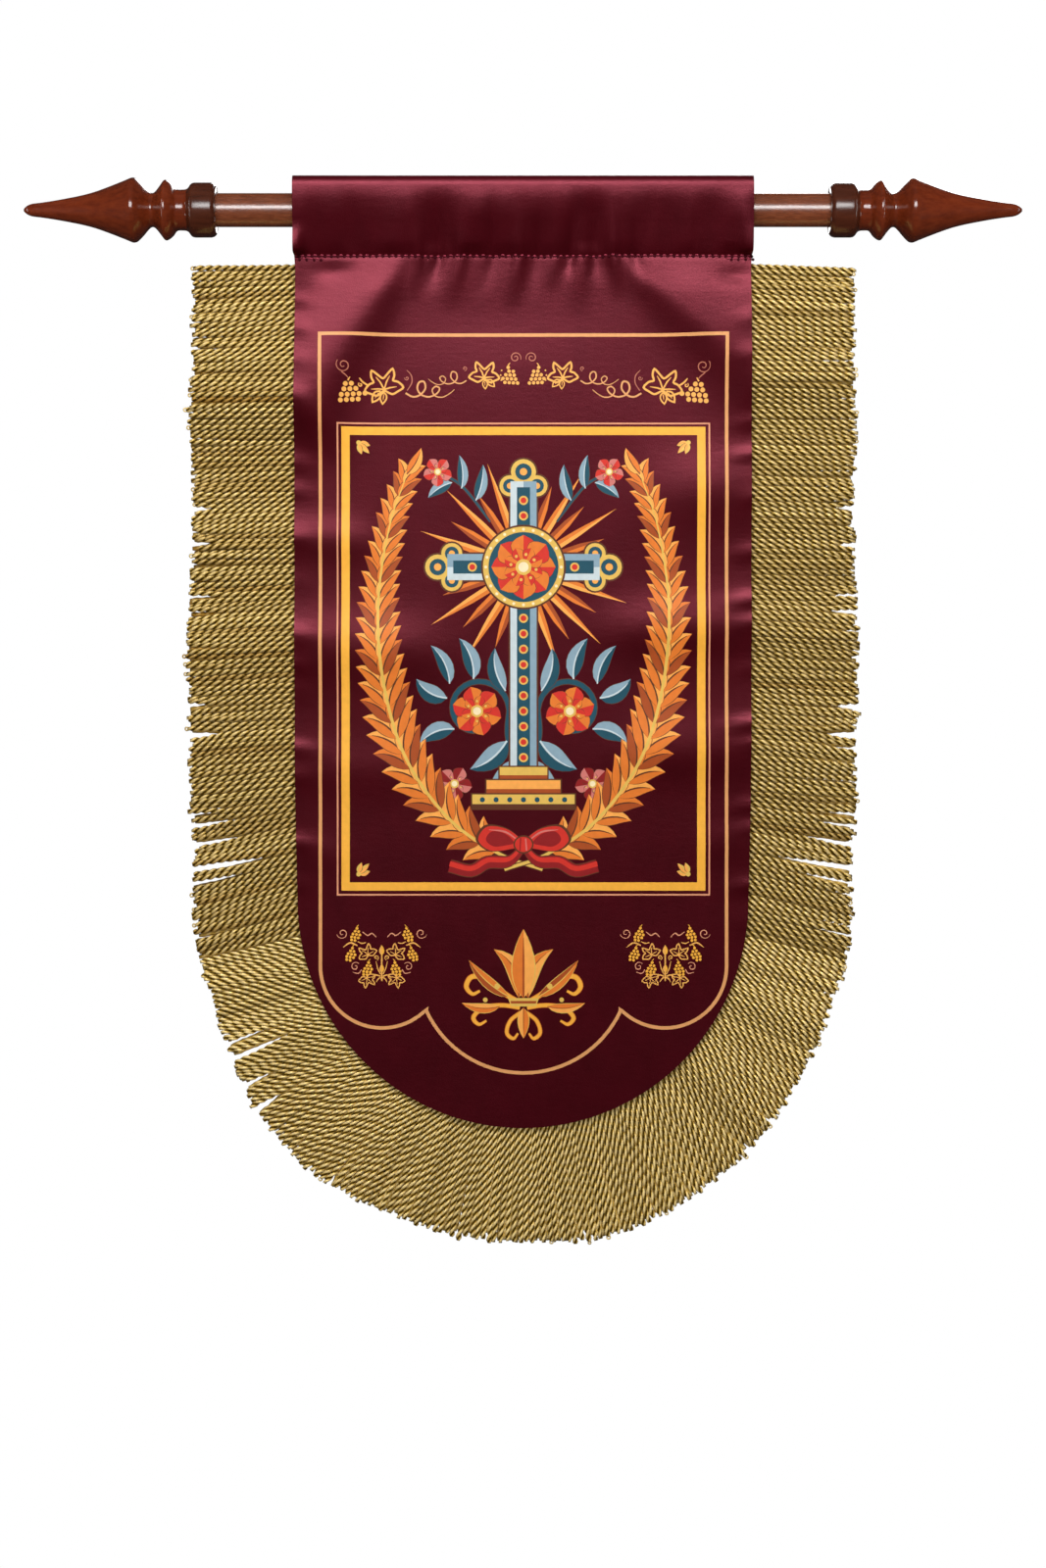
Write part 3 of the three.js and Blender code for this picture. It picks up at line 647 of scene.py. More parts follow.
def draw_cross(x, drop):
    """A budded cross with bevelled bars, its crossing at (x, drop)."""
    w = 11.0
    bars = [((0, -1), 72), ((0, 1), 172), ((-1, 0), 64), ((1, 0), 64)]
    m = Motif()
    for (dx, dy), reach in bars:
        if dy != 1:
            for bx, by, r in [(0, 0, 10.6), (-11.4, -6.2, 8.8), (11.4, -6.2, 8.8)]:
                a = math.atan2(dx, -dy)
                px, py = bx * math.cos(a) - by * math.sin(a), bx * math.sin(a) + by * math.cos(a)
                cx, cy = dx * reach - px * 0, dy * reach
                if (bx, by) == (0, 0):
                    m.fill("brown", disc(cx + dx * 8, cy + dy * 8, r + 1.5, n=20))
                else:
                    m.fill("brown", disc(cx + px - dx * 10, cy + py - dy * 10, r + 1.5, n=20))
    for (dx, dy), reach in bars:
        nx, ny = -dy, dx
        m.fill("brown", divide([(nx * (w + 1.5), ny * (w + 1.5)), (dx * reach + nx * (w + 1.5), dy * reach + ny * (w + 1.5)),
                                (dx * reach - nx * (w + 1.5), dy * reach - ny * (w + 1.5)), (-nx * (w + 1.5), -ny * (w + 1.5))], 5, True))
    for (dx, dy), reach in bars:
        if dy != 1:
            a = math.atan2(dx, -dy)
            for bx, by, r in [(-11.4, -6.2, 8.8), (11.4, -6.2, 8.8), (0, 0, 10.6)]:
                px, py = bx * math.cos(a) - by * math.sin(a), bx * math.sin(a) + by * math.cos(a)
                cx, cy = (dx * reach + dx * 8, dy * reach + dy * 8) if (bx, by) == (0, 0) else (dx * reach + px - dx * 10, dy * reach + py - dy * 10)
                m.fill("gold", disc(cx, cy, r, n=20))
                m.fill("teal", disc(cx, cy, r * 0.66, n=16))
                m.fill("amber", disc(cx, cy, r * 0.30, n=12))
    for (dx, dy), reach in bars:
        nx, ny = -dy, dx
        side_a, side_b = ("pale", "steel") if (nx - ny) < 0 else ("steel", "pale")
        m.fill(side_a, divide([(0, 0), (dx * reach, dy * reach), (dx * reach + nx * w, dy * reach + ny * w), (dx * w + nx * w, dy * w + ny * w)], 5, True))
        m.fill(side_b, divide([(0, 0), (dx * reach, dy * reach), (dx * reach - nx * w, dy * reach - ny * w), (dx * w - nx * w, dy * w - ny * w)], 5, True))
        inner = w * 0.5
        m.fill("teal", divide([(dx * 14 + nx * inner, dy * 14 + ny * inner), (dx * (reach - 5) + nx * inner, dy * (reach - 5) + ny * inner),
                               (dx * (reach - 5) - nx * inner, dy * (reach - 5) - ny * inner), (dx * 14 - nx * inner, dy * 14 - ny * inner)], 5, True))
        k = 43.0
        while k < reach - 8:
            m.fill("gold", disc(dx * k, dy * k, 3.9, n=14))
            m.fill("red", disc(dx * k, dy * k, 2.5, n=12))
            k += 13.0
    m.put(x, drop)
    ring = Motif()
    ring.fill("brown", disc(0, 0, 35.6, n=48))
    ring.fill("gold", disc(0, 0, 34.0, n=48))
    ring.fill("teal", disc(0, 0, 29.4, n=44))
    for k in range(24):
        a = k * 2 * math.pi / 24
        ring.fill("cream", disc(31.7 * math.cos(a), 31.7 * math.sin(a), 1.3, n=8))
    ring.put(x, drop)
    flower(8, 27.0, "red", "orange", "cream", "gold").put(x, drop)


def draw_branch():
    """One palm branch, up the left side; put twice for both."""
    spine = spline([(16, 566 - 12), (-20, 541), (-62, 512), (-98, 462), (-117, 400), (-122, 332), (-113, 268), (-98, 222)], 14)
    way = np.concatenate([[0], np.cumsum(np.hypot(*np.diff(spine, axis=0).T))])
    m = Motif()
    m.line("brown", spine, 4.4, ends=(1.0, 0.3))
    total = way[-1]
    places = []
    at = 42.0
    k = 0
    while at < total - 6:
        t = at / total
        places.append((at, t, k))
        at += 15.0 - 3.0 * t
        k += 1
    for at, t, k in places:
        p = np.array([np.interp(at, way, spine[:, 0]), np.interp(at, way, spine[:, 1])])
        q = np.array([np.interp(at + 1, way, spine[:, 0]), np.interp(at + 1, way, spine[:, 1])])
        d = (q - p) / np.hypot(*(q - p))
        size = 1.0 - 0.42 * abs(t - 0.40) / 0.60
        for side in (-1, 1):
            a = math.radians((44 - 12 * t) * side)
            out = np.array([d[0] * math.cos(a) - d[1] * math.sin(a), d[0] * math.sin(a) + d[1] * math.cos(a)])
            long = (36 if side < 0 else 40) * size
            light, dark = [("amber", "orange"), ("orange", "rust"), ("amber", "orange")][k % 3]
            if side > 0:
                light, dark = dark, light
            m.leaf(p, p + out * long, -4.6 * side * size, 15.5 * size, light, dark, rib="brown", edge="brown", rim=0.55)
    m.leaf(spine[-1] - [0, 0], spine[-1] + [12, -22], 2, 9.5, "amber", "orange", rib="brown", edge="brown")
    m.line("gold", spine, 2.6, ends=(1.0, 0.3))
    m.put_pair(AXIS, 0)


def draw_ribbon(x, drop):
    """A tied ribbon where the branches cross."""
    m = Motif()
    for s in (-1, 1):
        tail = spline([(0, 2), (12 * s, 14), (30 * s, 15), (44 * s, 22), (62 * s, 18)], 6)
        m.line("brown", tail, 11.4, ends=(0.5, 1))
        m.line("crimson", tail, 10.0, ends=(0.5, 1))
        m.line("red", tail + [0, -1.8], 4.2, ends=(0.5, 1))
        loop = [(0, 0), (12 * s, -12), (30 * s, -15), (38 * s, -4), (28 * s, 5), (12 * s, 4)]
        ring = spline(loop, 6, closed=True)
        m.fill("brown", ring * [1.06, 1.10])
        m.fill("red", ring)
        m.fill("crimson", ring * 0.62 + [8 * s, -1.6])
        m.line("rose", spline([(4 * s, -3), (15 * s, -10.5), (29 * s, -12.4)], 5), 1.5, ends=(0.4, 0.3))
    m.fill("brown", disc(0, 0, 8.6, 7.8, n=20))
    m.fill("red", disc(0, 0, 7.2, 6.4, n=20))
    m.line("crimson", [(-2.4, -5.4), (-3.0, 5.4)], 1.1)
    m.line("rose", [(1.8, -5.0), (2.6, 5.2)], 1.1)
    m.put(x, drop)


def draw_middle():
    draw_rays(AXIS, 300)
    # flowering scrolls in the lower and the upper quarters
    low = scroll(1.25, 27, "teal", 4.2, "brown")
    for mirror in (False, True):
        low.put(AXIS - 12, 420, 0, 1.0, mirror)
        stem = Motif()
        stem.line("brown", spline([(-2, 486), (-9, 462), (-13.4, 440), (-12, 420)], 6), 5.4, ends=(1, 1))
        stem.line("teal", spline([(-2, 486), (-9, 462), (-13.4, 440), (-12, 420)], 6), 4.2, ends=(1, 1))
        for p0, p1, bend, width in [((-14, 446), (-45, 470), -4, 18), ((-15, 404), (-24, 368), -4, 14), ((-58, 436), (-87, 448), 4, 15),
                                    ((-64, 410), (-90, 394), -4, 15), ((-42, 394), (-54, 360), 4, 14), ((-10, 462), (-32, 492), -3, 14),
                                    ((-62, 398), (-78, 366), 4, 12)]:
            stem.leaf(p0, p1, bend, width, "steel", "teal", rib="pale", edge="brown")
        stem.put(AXIS, 0, 0, 1, mirror)
        flower(6, 21.0, "orange", "red", "cream", "gold").put(AXIS - 39, 421, 15, 1.0, mirror)
        flower(5, 15.0, "rose", "crimson", "cream", "gold").put(AXIS - 58, 482, 10, 1.0, mirror)
        sprig = Motif()
        sprig.line("brown", spline([(-28, 262), (-42, 243), (-54, 230), (-68, 222)], 6), 3.0, ends=(0.6, 1))
        sprig.line("teal", spline([(-28, 262), (-42, 243), (-54, 230), (-68, 222)], 6), 1.9, ends=(0.6, 1))
        for p0, p1, bend, width in [((-40, 244), (-34, 214), 2, 10), ((-52, 234), (-54, 206), 2, 9), ((-60, 229), (-80, 242), 2, 10)]:
            sprig.leaf(p0, p1, bend, width, "steel", "teal", rib="pale", edge="brown")
        sprig.put(AXIS, 0, 0, 1, mirror)
        flower(5, 12.5, "rose", "red", "cream", "gold").put(AXIS - 72, 220, 20, 1.0, mirror)
    draw_cross(AXIS, 300)
    draw_branch()
    # stepped foot of the cross
    m = Motif()
    for half, top, tall, light, dark in [(20, 468, 11, "gold", "rust"), (31, 479, 12, "amber", "rust"), (43, 491, 13, "gold", "brown")]:
        m.fill("brown", divide([(-half - 1.2, top - 1.2), (half + 1.2, top - 1.2), (half + 1.2, top + tall), (-half - 1.2, top + tall)], 5, True))
        m.fill(light, divide([(-half, top), (half, top), (half, top + tall - 1), (-half, top + tall - 1)], 5, True))
        m.fill(dark, divide([(-half, top + tall * 0.62), (half, top + tall * 0.62), (half, top + tall - 1), (-half, top + tall - 1)], 5, True))
    m.put(AXIS, 0)
    for k in range(-3, 4):
        SHAPES.append(("teal", [disc(AXIS + k * 11.5, 495.4, 2.2, n=10)]))
    draw_ribbon(AXIS, 533)
    corner = Motif()
    for turn in (20, 45, 70):
        a = math.radians(turn)
        corner.leaf((3 * math.cos(a), 3 * math.sin(a)), ((15 if turn == 45 else 12) * math.cos(a), (15 if turn == 45 else 12) * math.sin(a)), 0, 4.4, "gold", "amber", edge="brown", rim=0.4)
    corner.fill("gold", disc(1.6, 1.6, 2.0, n=10))
    corner.put_pair(AXIS - 140, 194)
    down = Motif()
    down.shapes = [(ink, [r * [1, -1] for r in rings]) for ink, rings in corner.shapes]
    down.put_pair(AXIS - 140, 559.5)


def draw_foot_motif(x, drop):
    """A lily palmette at the foot."""
    m = Motif()
    for s in (-1, 1):
        for pts, w in [([(3, 12), (16, 4), (30, -8), (43, -10), (48, -2), (43, 4.5), (36.5, 2)], 3.4),
                       ([(3, 16), (18, 14), (33, 16), (42, 24), (37.5, 30), (31, 27)], 2.8),
                       ([(2.4, 20), (11, 27), (14, 37), (8.6, 42), (4.6, 37.6)], 2.4)]:
            m.line("orange", [(s * a, b) for a, b in spline(pts, 6)], w + 1.2, ends=(1, 0.5))
            m.line("band", [(s * a, b) for a, b in spline(pts, 6)], w, ends=(1, 0.5))
        m.leaf((s * 4, 8), (s * 25, -33), -s * 8, 13, "amber", "orange", rib="rust", edge="gold", rim=0.8)
        m.leaf((s * 12, 7), (s * 46, -24), s * 3, 9, "orange", "rust", rib="gold", edge="gold", rim=0.6)
        m.leaf((s * 20, 15), (s * 52, 12), s * 3, 7.5, "amber", "orange", rib="rust", edge="gold", rim=0.5)
        m.fill("gold", disc(s * 22, -2, 2.4, n=10))
        m.fill("gold", disc(s * 32, 9.5, 2.0, n=10))
    m.leaf((0, 8), (0, -50), 0, 19, "amber", "orange", rib="rust", edge="gold", rim=0.9)
    m.fill("gold", divide([(-13, 8), (13, 8), (10.5, 15), (-10.5, 15)], 4, True))
    m.fill("rust", divide([(-11, 10.4), (11, 10.4), (10.4, 12.6), (-10.4, 12.6)], 4, True))
    m.leaf((0, 16), (0, 42), 0, 9, "amber", "orange", rib="rust", edge="gold", rim=0.6)
    m.put(x, drop)


# ------------------------------------------------------------------ materials
def new_material(name):
    m = bpy.data.materials.new(name)
    m.use_nodes = True
    nt = m.node_tree
    for n in list(nt.nodes):
        nt.nodes.remove(n)
    out = nt.nodes.new("ShaderNodeOutputMaterial")
    bsdf = nt.nodes.new("ShaderNodeBsdfPrincipled")
    nt.links.new(bsdf.outputs["BSDF"], out.inputs["Surface"])
    return m, nt, bsdf


def node(nt, kind, **values):
    n = nt.nodes.new(kind)
    for key, value in values.items():
        if key in n.inputs:
            n.inputs[key].default_value = value
        else:
            setattr(n, key, value)
    return n


def ramp(nt, source, stops):
    r = nt.nodes.new("ShaderNodeValToRGB")
    nt.links.new(source, r.inputs["Fac"])
    e = r.color_ramp.elements
    while len(e) < len(stops):
        e.new(0.5)
    for el, (at, colour) in zip(e, stops):
        el.position = at
        el.color = colour
    return r.outputs["Color"]


def attribute(nt, name):
    n = nt.nodes.new("ShaderNodeAttribute")
    n.attribute_name = name
    return n


def flat_noise(nt, scale, detail=3.0, stretch=(1, 1, 1)):
    """Noise in the cloth's own flat frame, in millimetres."""
    a = attribute(nt, "flat")
    mp = nt.nodes.new("ShaderNodeMapping")
    mp.inputs["Scale"].default_value = stretch
    nt.links.new(a.outputs["Vector"], mp.inputs["Vector"])
    n = node(nt, "ShaderNodeTexNoise", Scale=scale, Detail=detail)
    nt.links.new(mp.outputs["Vector"], n.inputs["Vector"])
    return n.outputs["Fac"]


def cloth_bump(nt, bsdf, strength, depth):
    """Weave of the satin: fine floats along the length and slubs across it."""
    fine = flat_noise(nt, 0.9, 3.0, (1.4, 0.8, 1))
    slub = flat_noise(nt, 0.16, 3.0, (0.6, 1.5, 1))
    add = nt.nodes.new("ShaderNodeMath")
    add.operation = "ADD"
    nt.links.new(fine, add.inputs[0])
    nt.links.new(slub, add.inputs[1])
    b = node(nt, "ShaderNodeBump", Strength=strength, Distance=depth)
    nt.links.new(add.outputs[0], b.inputs["Height"])
    nt.links.new(b.outputs["Normal"], bsdf.inputs["Normal"])


def satin_material():
    """Dark red ground under a broad rosy sheen."""
    m, nt, b = new_material("satin")
    n = flat_noise(nt, 0.05, 4.0, (1, 0.6, 1))
    c = ramp(nt, n, [(0.3, (0.033, 0.0003, 0.0016, 1)), (0.7, (0.043, 0.0006, 0.0025, 1))])
    nt.links.new(c, b.inputs["Base Color"])
    f = flat_noise(nt, 0.5, 3.0, (2.2, 0.4, 1))
    r = ramp(nt, f, [(0.25, (0.405, 0.405, 0.405, 1)), (0.75, (0.455, 0.455, 0.455, 1))])
    nt.links.new(r, b.inputs["Roughness"])
    b.inputs["IOR"].default_value = 1.82
    b.inputs["Specular Tint"].default_value = (1.0, 0.20, 0.28, 1)
    cloth_bump(nt, b, 0.34, 0.0004)
    return m


def reverse_material():
    m, nt, b = new_material("satin_reverse")
    n = flat_noise(nt, 0.06, 4.0, (1, 0.7, 1))
    c = ramp(nt, n, [(0.3, (0.150, 0.018, 0.032, 1)), (0.7, (0.200, 0.026, 0.044, 1))])
    nt.links.new(c, b.inputs["Base Color"])
    f = flat_noise(nt, 0.9, 3.0, (0.5, 2.4, 1))
    r = ramp(nt, f, [(0.25, (0.62, 0.62, 0.62, 1)), (0.75, (0.74, 0.74, 0.74, 1))])
    nt.links.new(r, b.inputs["Roughness"])
    b.inputs["Metallic"].default_value = 0.25
    b.inputs["Sheen Weight"].default_value = 0.12
    cloth_bump(nt, b, 0.18, 0.0004)
    return m


def ink_material(name, rgb):
    m, nt, b = new_material("ink_" + name)
    base = np.array(srgb(*rgb))[:3]
    n = flat_noise(nt, 0.22, 4.0, (1, 0.7, 1))
    c = ramp(nt, n, [(0.28, (*(base * 0.94), 1)), (0.72, (*np.minimum(base * 1.05, 1), 1))])
    nt.links.new(c, b.inputs["Base Color"])
    f = flat_noise(nt, 0.8, 2.0, (2.0, 0.5, 1))
    r = ramp(nt, f, [(0.25, (0.44, 0.44, 0.44, 1)), (0.75, (0.56, 0.56, 0.56, 1))])
    nt.links.new(r, b.inputs["Roughness"])
    b.inputs["Specular IOR Level"].default_value = 0.35
    cloth_bump(nt, b, 0.10, 0.0004)
    return m


def cord_material():
    """Old-gold cord with painted light: a painted highlight on the plies' backs and painted shade in the grooves
    between them.
    """
    m, nt, b = new_material("gold_cord")
    # the ply mask paints the light: its crest colour is a painted highlight, its groove colours are painted shade
    groove = attribute(nt, "groove").outputs["Fac"]
    c = ramp(nt, groove, [(0.0, (0.96, 0.75, 0.360, 1)), (0.30, (0.72, 0.475, 0.088, 1)), (0.70, (0.155, 0.080, 0.005, 1)), (1.0, (0.052, 0.024, 0.001, 1))])
    # per-cord tone multiplier: random tone plus painted light, a lift per length of fringe and painted shade on the
    # cords behind
    tone = attribute(nt, "tone").outputs["Fac"]
    shade = ramp(nt, tone, [(0.0, (0.36, 0.27, 0.15, 1)), (0.5, (0.63, 0.60, 0.54, 1)), (1.0, (1.0, 1.0, 1.0, 1))])
    mix = nt.nodes.new("ShaderNodeMix")
    mix.data_type = "RGBA"
    mix.blend_type = "MULTIPLY"
    mix.inputs[0].default_value = 1.0
    nt.links.new(c, mix.inputs[6])
    nt.links.new(shade, mix.inputs[7])
    nt.links.new(mix.outputs[2], b.inputs["Base Color"])
    coord = nt.nodes.new("ShaderNodeTexCoord")
    n = node(nt, "ShaderNodeTexNoise", Scale=900.0, Detail=2.0)
    nt.links.new(coord.outputs["Object"], n.inputs["Vector"])
    r = ramp(nt, n.outputs["Fac"], [(0.3, (0.32, 0.32, 0.32, 1)), (0.7, (0.48, 0.48, 0.48, 1))])
    nt.links.new(r, b.inputs["Roughness"])
    b.inputs["Metallic"].default_value = 0.25
    b.inputs["Specular Tint"].default_value = (1.0, 0.76, 0.26, 1)
    bp = node(nt, "ShaderNodeBump", Strength=0.25, Distance=0.0004)
    nt.links.new(n.outputs["Fac"], bp.inputs["Height"])
    nt.links.new(bp.outputs["Normal"], b.inputs["Normal"])
    return m


def tape_material():
    m, nt, b = new_material("heading_tape")
    coord = nt.nodes.new("ShaderNodeTexCoord")
    n = node(nt, "ShaderNodeTexNoise", Scale=420.0, Detail=3.0)
    nt.links.new(coord.outputs["Object"], n.inputs["Vector"])
    c = ramp(nt, n.outputs["Fac"], [(0.3, (0.30, 0.20, 0.06, 1)), (0.7, (0.46, 0.34, 0.12, 1))])
    nt.links.new(c, b.inputs["Base Color"])
    r = ramp(nt, n.outputs["Fac"], [(0.3, (0.55, 0.55, 0.55, 1)), (0.7, (0.75, 0.75, 0.75, 1))])
    nt.links.new(r, b.inputs["Roughness"])
    bp = node(nt, "ShaderNodeBump", Strength=0.5, Distance=0.0005)
    nt.links.new(n.outputs["Fac"], bp.inputs["Height"])
    nt.links.new(bp.outputs["Normal"], b.inputs["Normal"])
    return m


def wood_material(name, dark, mid, light, rough, ior, along, scale):
    """Varnished wood with its grain along X. "along" squeezes the grain's length."""
    m, nt, b = new_material(name)
    coord = nt.nodes.new("ShaderNodeTexCoord")
    mp = nt.nodes.new("ShaderNodeMapping")
    mp.inputs["Scale"].default_value = (along, 1.0, 1.0)
    nt.links.new(coord.outputs["Object"], mp.inputs["Vector"])
    grain = node(nt, "ShaderNodeTexNoise", Scale=scale, Detail=6.0, Roughness=0.62)
    nt.links.new(mp.outputs["Vector"], grain.inputs["Vector"])
    c = ramp(nt, grain.outputs["Fac"], [(0.28, (*dark, 1)), (0.5, (*mid, 1)), (0.74, (*light, 1))])
    broad = node(nt, "ShaderNodeTexNoise", Scale=24.0, Detail=2.0)
    nt.links.new(coord.outputs["Object"], broad.inputs["Vector"])
    shade = ramp(nt, broad.outputs["Fac"], [(0.3, (0.80, 0.78, 0.76, 1)), (0.7, (1, 1, 1, 1))])
    mix = nt.nodes.new("ShaderNodeMix")
    mix.data_type = "RGBA"
    mix.blend_type = "MULTIPLY"
    mix.inputs[0].default_value = 1.0
    nt.links.new(c, mix.inputs[6])
    nt.links.new(shade, mix.inputs[7])
    nt.links.new(mix.outputs[2], b.inputs["Base Color"])
    r = ramp(nt, grain.outputs["Fac"], [(0.3, (rough + 0.06,) * 3 + (1,)), (0.7, (rough,) * 3 + (1,))])
    nt.links.new(r, b.inputs["Roughness"])
    b.inputs["IOR"].default_value = ior
    bp = node(nt, "ShaderNodeBump", Strength=0.12, Distance=0.0004)
    nt.links.new(grain.outputs["Fac"], bp.inputs["Height"])
    nt.links.new(bp.outputs["Normal"], b.inputs["Normal"])
    return m


def thread_material():
    m, nt, b = new_material("seam_thread")
    coord = nt.nodes.new("ShaderNodeTexCoord")
    n = node(nt, "ShaderNodeTexNoise", Scale=700.0, Detail=2.0)
    nt.links.new(coord.outputs["Object"], n.inputs["Vector"])
    c = ramp(nt, n.outputs["Fac"], [(0.3, (0.22, 0.026, 0.045, 1)), (0.7, (0.32, 0.045, 0.072, 1))])
    nt.links.new(c, b.inputs["Base Color"])
    r = ramp(nt, n.outputs["Fac"], [(0.3, (0.4, 0.4, 0.4, 1)), (0.7, (0.6, 0.6, 0.6, 1))])
    nt.links.new(r, b.inputs["Roughness"])
    b.inputs["Specular Tint"].default_value = (1.0, 0.20, 0.28, 1.0)
    return m


def hole_shade_material():
    # painted shade: a near-black colour for the shadow inside a needle hole
    m, nt, b = new_material("needle_hole")
    coord = nt.nodes.new("ShaderNodeTexCoord")
    n = node(nt, "ShaderNodeTexNoise", Scale=900.0, Detail=2.0)
    nt.links.new(coord.outputs["Object"], n.inputs["Vector"])
    c = ramp(nt, n.outputs["Fac"], [(0.3, (0.030, 0.0012, 0.0040, 1)), (0.7, (0.046, 0.0020, 0.0062, 1))])
    nt.links.new(c, b.inputs["Base Color"])
    r = ramp(nt, n.outputs["Fac"], [(0.3, (0.85, 0.85, 0.85, 1)), (0.7, (0.95, 0.95, 0.95, 1))])
    nt.links.new(r, b.inputs["Roughness"])
    b.inputs["Specular IOR Level"].default_value = 0.1
    return m


# ------------------------------------------------------------------ panel
def outline():
    """The flat cut's outline, clockwise from the top left corner."""
    straight = np.concatenate([np.linspace(Q_TOP, FOOT, int((FOOT - Q_TOP) / 3.0) + 1)])
    left = np.stack([-panel_half(straight), straight], 1)
    right = np.stack([panel_half(straight), straight], 1)
    a = np.radians(np.linspace(180, 0, 200))[1:-1]
    foot = np.stack([half_width(FOOT) * np.cos(a), FOOT + FOOT_DEEP * np.sin(a)], 1)
    n = 128
    w = float(panel_half(np.array([Q_TOP]))[0])
    top = np.stack([np.linspace(w, -w, n)[1:-1], np.full(n - 2, Q_TOP)], 1)
    return np.vstack([left, foot, right[::-1], top])


def rows_of(steps):
    """Places from Q_TOP down to the foot, by steps of (up to, step)."""
    out, q = [], Q_TOP
    for end, step in steps:
        n = max(1, int(round((end - q) / step)))
        out += list(q + (end - q) * np.arange(n) / n)
        q = end
    return np.array(out[1:])


def grid_points(rows, wide, narrow_until, narrow):
    """Points inside the flat cut, clear of its outline."""
    pts = []
    for k, q in enumerate(rows):
        h = float(panel_half(np.array([q]))[0]) if q <= FOOT else float(half_width(FOOT) * math.sqrt(max(0, 1 - ((q - FOOT) / FOOT_DEEP) ** 2)))
        step = narrow if q < narrow_until else wide
        n = int(2 * h / step)
        if n < 3:
            continue
        xs = (np.arange(1, n) / n * 2 - 1) * h
        if k % 2:
            xs = xs + step * 0.25
        xs = xs[np.abs(xs) < h - 1.2]
        pts.append(np.stack([xs, np.full(len(xs), q)], 1))
    return np.vstack(pts)


def inside(rings, x, y):
    """Which points lie within the rings, by winding number."""
    wind = np.zeros(len(x), int)
    for r in rings:
        x0, y0 = r[:, 0], r[:, 1]
        x1, y1 = np.roll(x0, -1), np.roll(y0, -1)
        for k in range(0, len(x), 4000):
            px, py = x[k:k + 4000, None], y[k:k + 4000, None]
            left = (x1 - x0) * (py - y0) - (px - x0) * (y1 - y0)
            up, dn = (y0 <= py) & (y1 > py), (y0 > py) & (y1 <= py)
            wind[k:k + 4000] += (up & (left > 0)).sum(1) - (dn & (left < 0)).sum(1)
    return wind != 0


def triangulate(edge, grid, shapes, clear):
    """Triangles of the flat cut with every shape's outline among their edges."""
    pts, lines = [edge], [np.stack([np.arange(len(edge)), np.roll(np.arange(len(edge)), -1)], 1)]
    count = len(edge)
    for _, rings in shapes:
        for r in rings:
            n = len(r)
            pts.append(r)
            lines.append(np.stack([np.arange(n), np.roll(np.arange(n), -1)], 1) + count)
            count += n
    if shapes:
        drawn = np.vstack(pts[1:])
        tree = KDTree(len(drawn))
        for k, (a, b) in enumerate(drawn):
            tree.insert((a, b, 0), k)
        tree.balance()
        grid = np.array([g for g in grid if tree.find((g[0], g[1], 0))[2] > clear])
    every = np.vstack(pts + [grid])
    out = delaunay_2d_cdt([Vector(p) for p in every.tolist()], np.vstack(lines).tolist(), [], 0, 1e-3, True)
    flat = np.array([(v.x, v.y) for v in out[0]])
    tris = np.array([f for f in out[2] if len(f) == 3])
    where = {}
    for k, origin in enumerate(out[3]):
        for o in origin:
            if o < len(edge):
                where[o] = k
    rim = np.array([where[k] for k in range(len(edge))])
    mid = flat[tris].mean(1)
    keep = inside([edge], mid[:, 0], mid[:, 1])
    return flat, tris[keep], rim


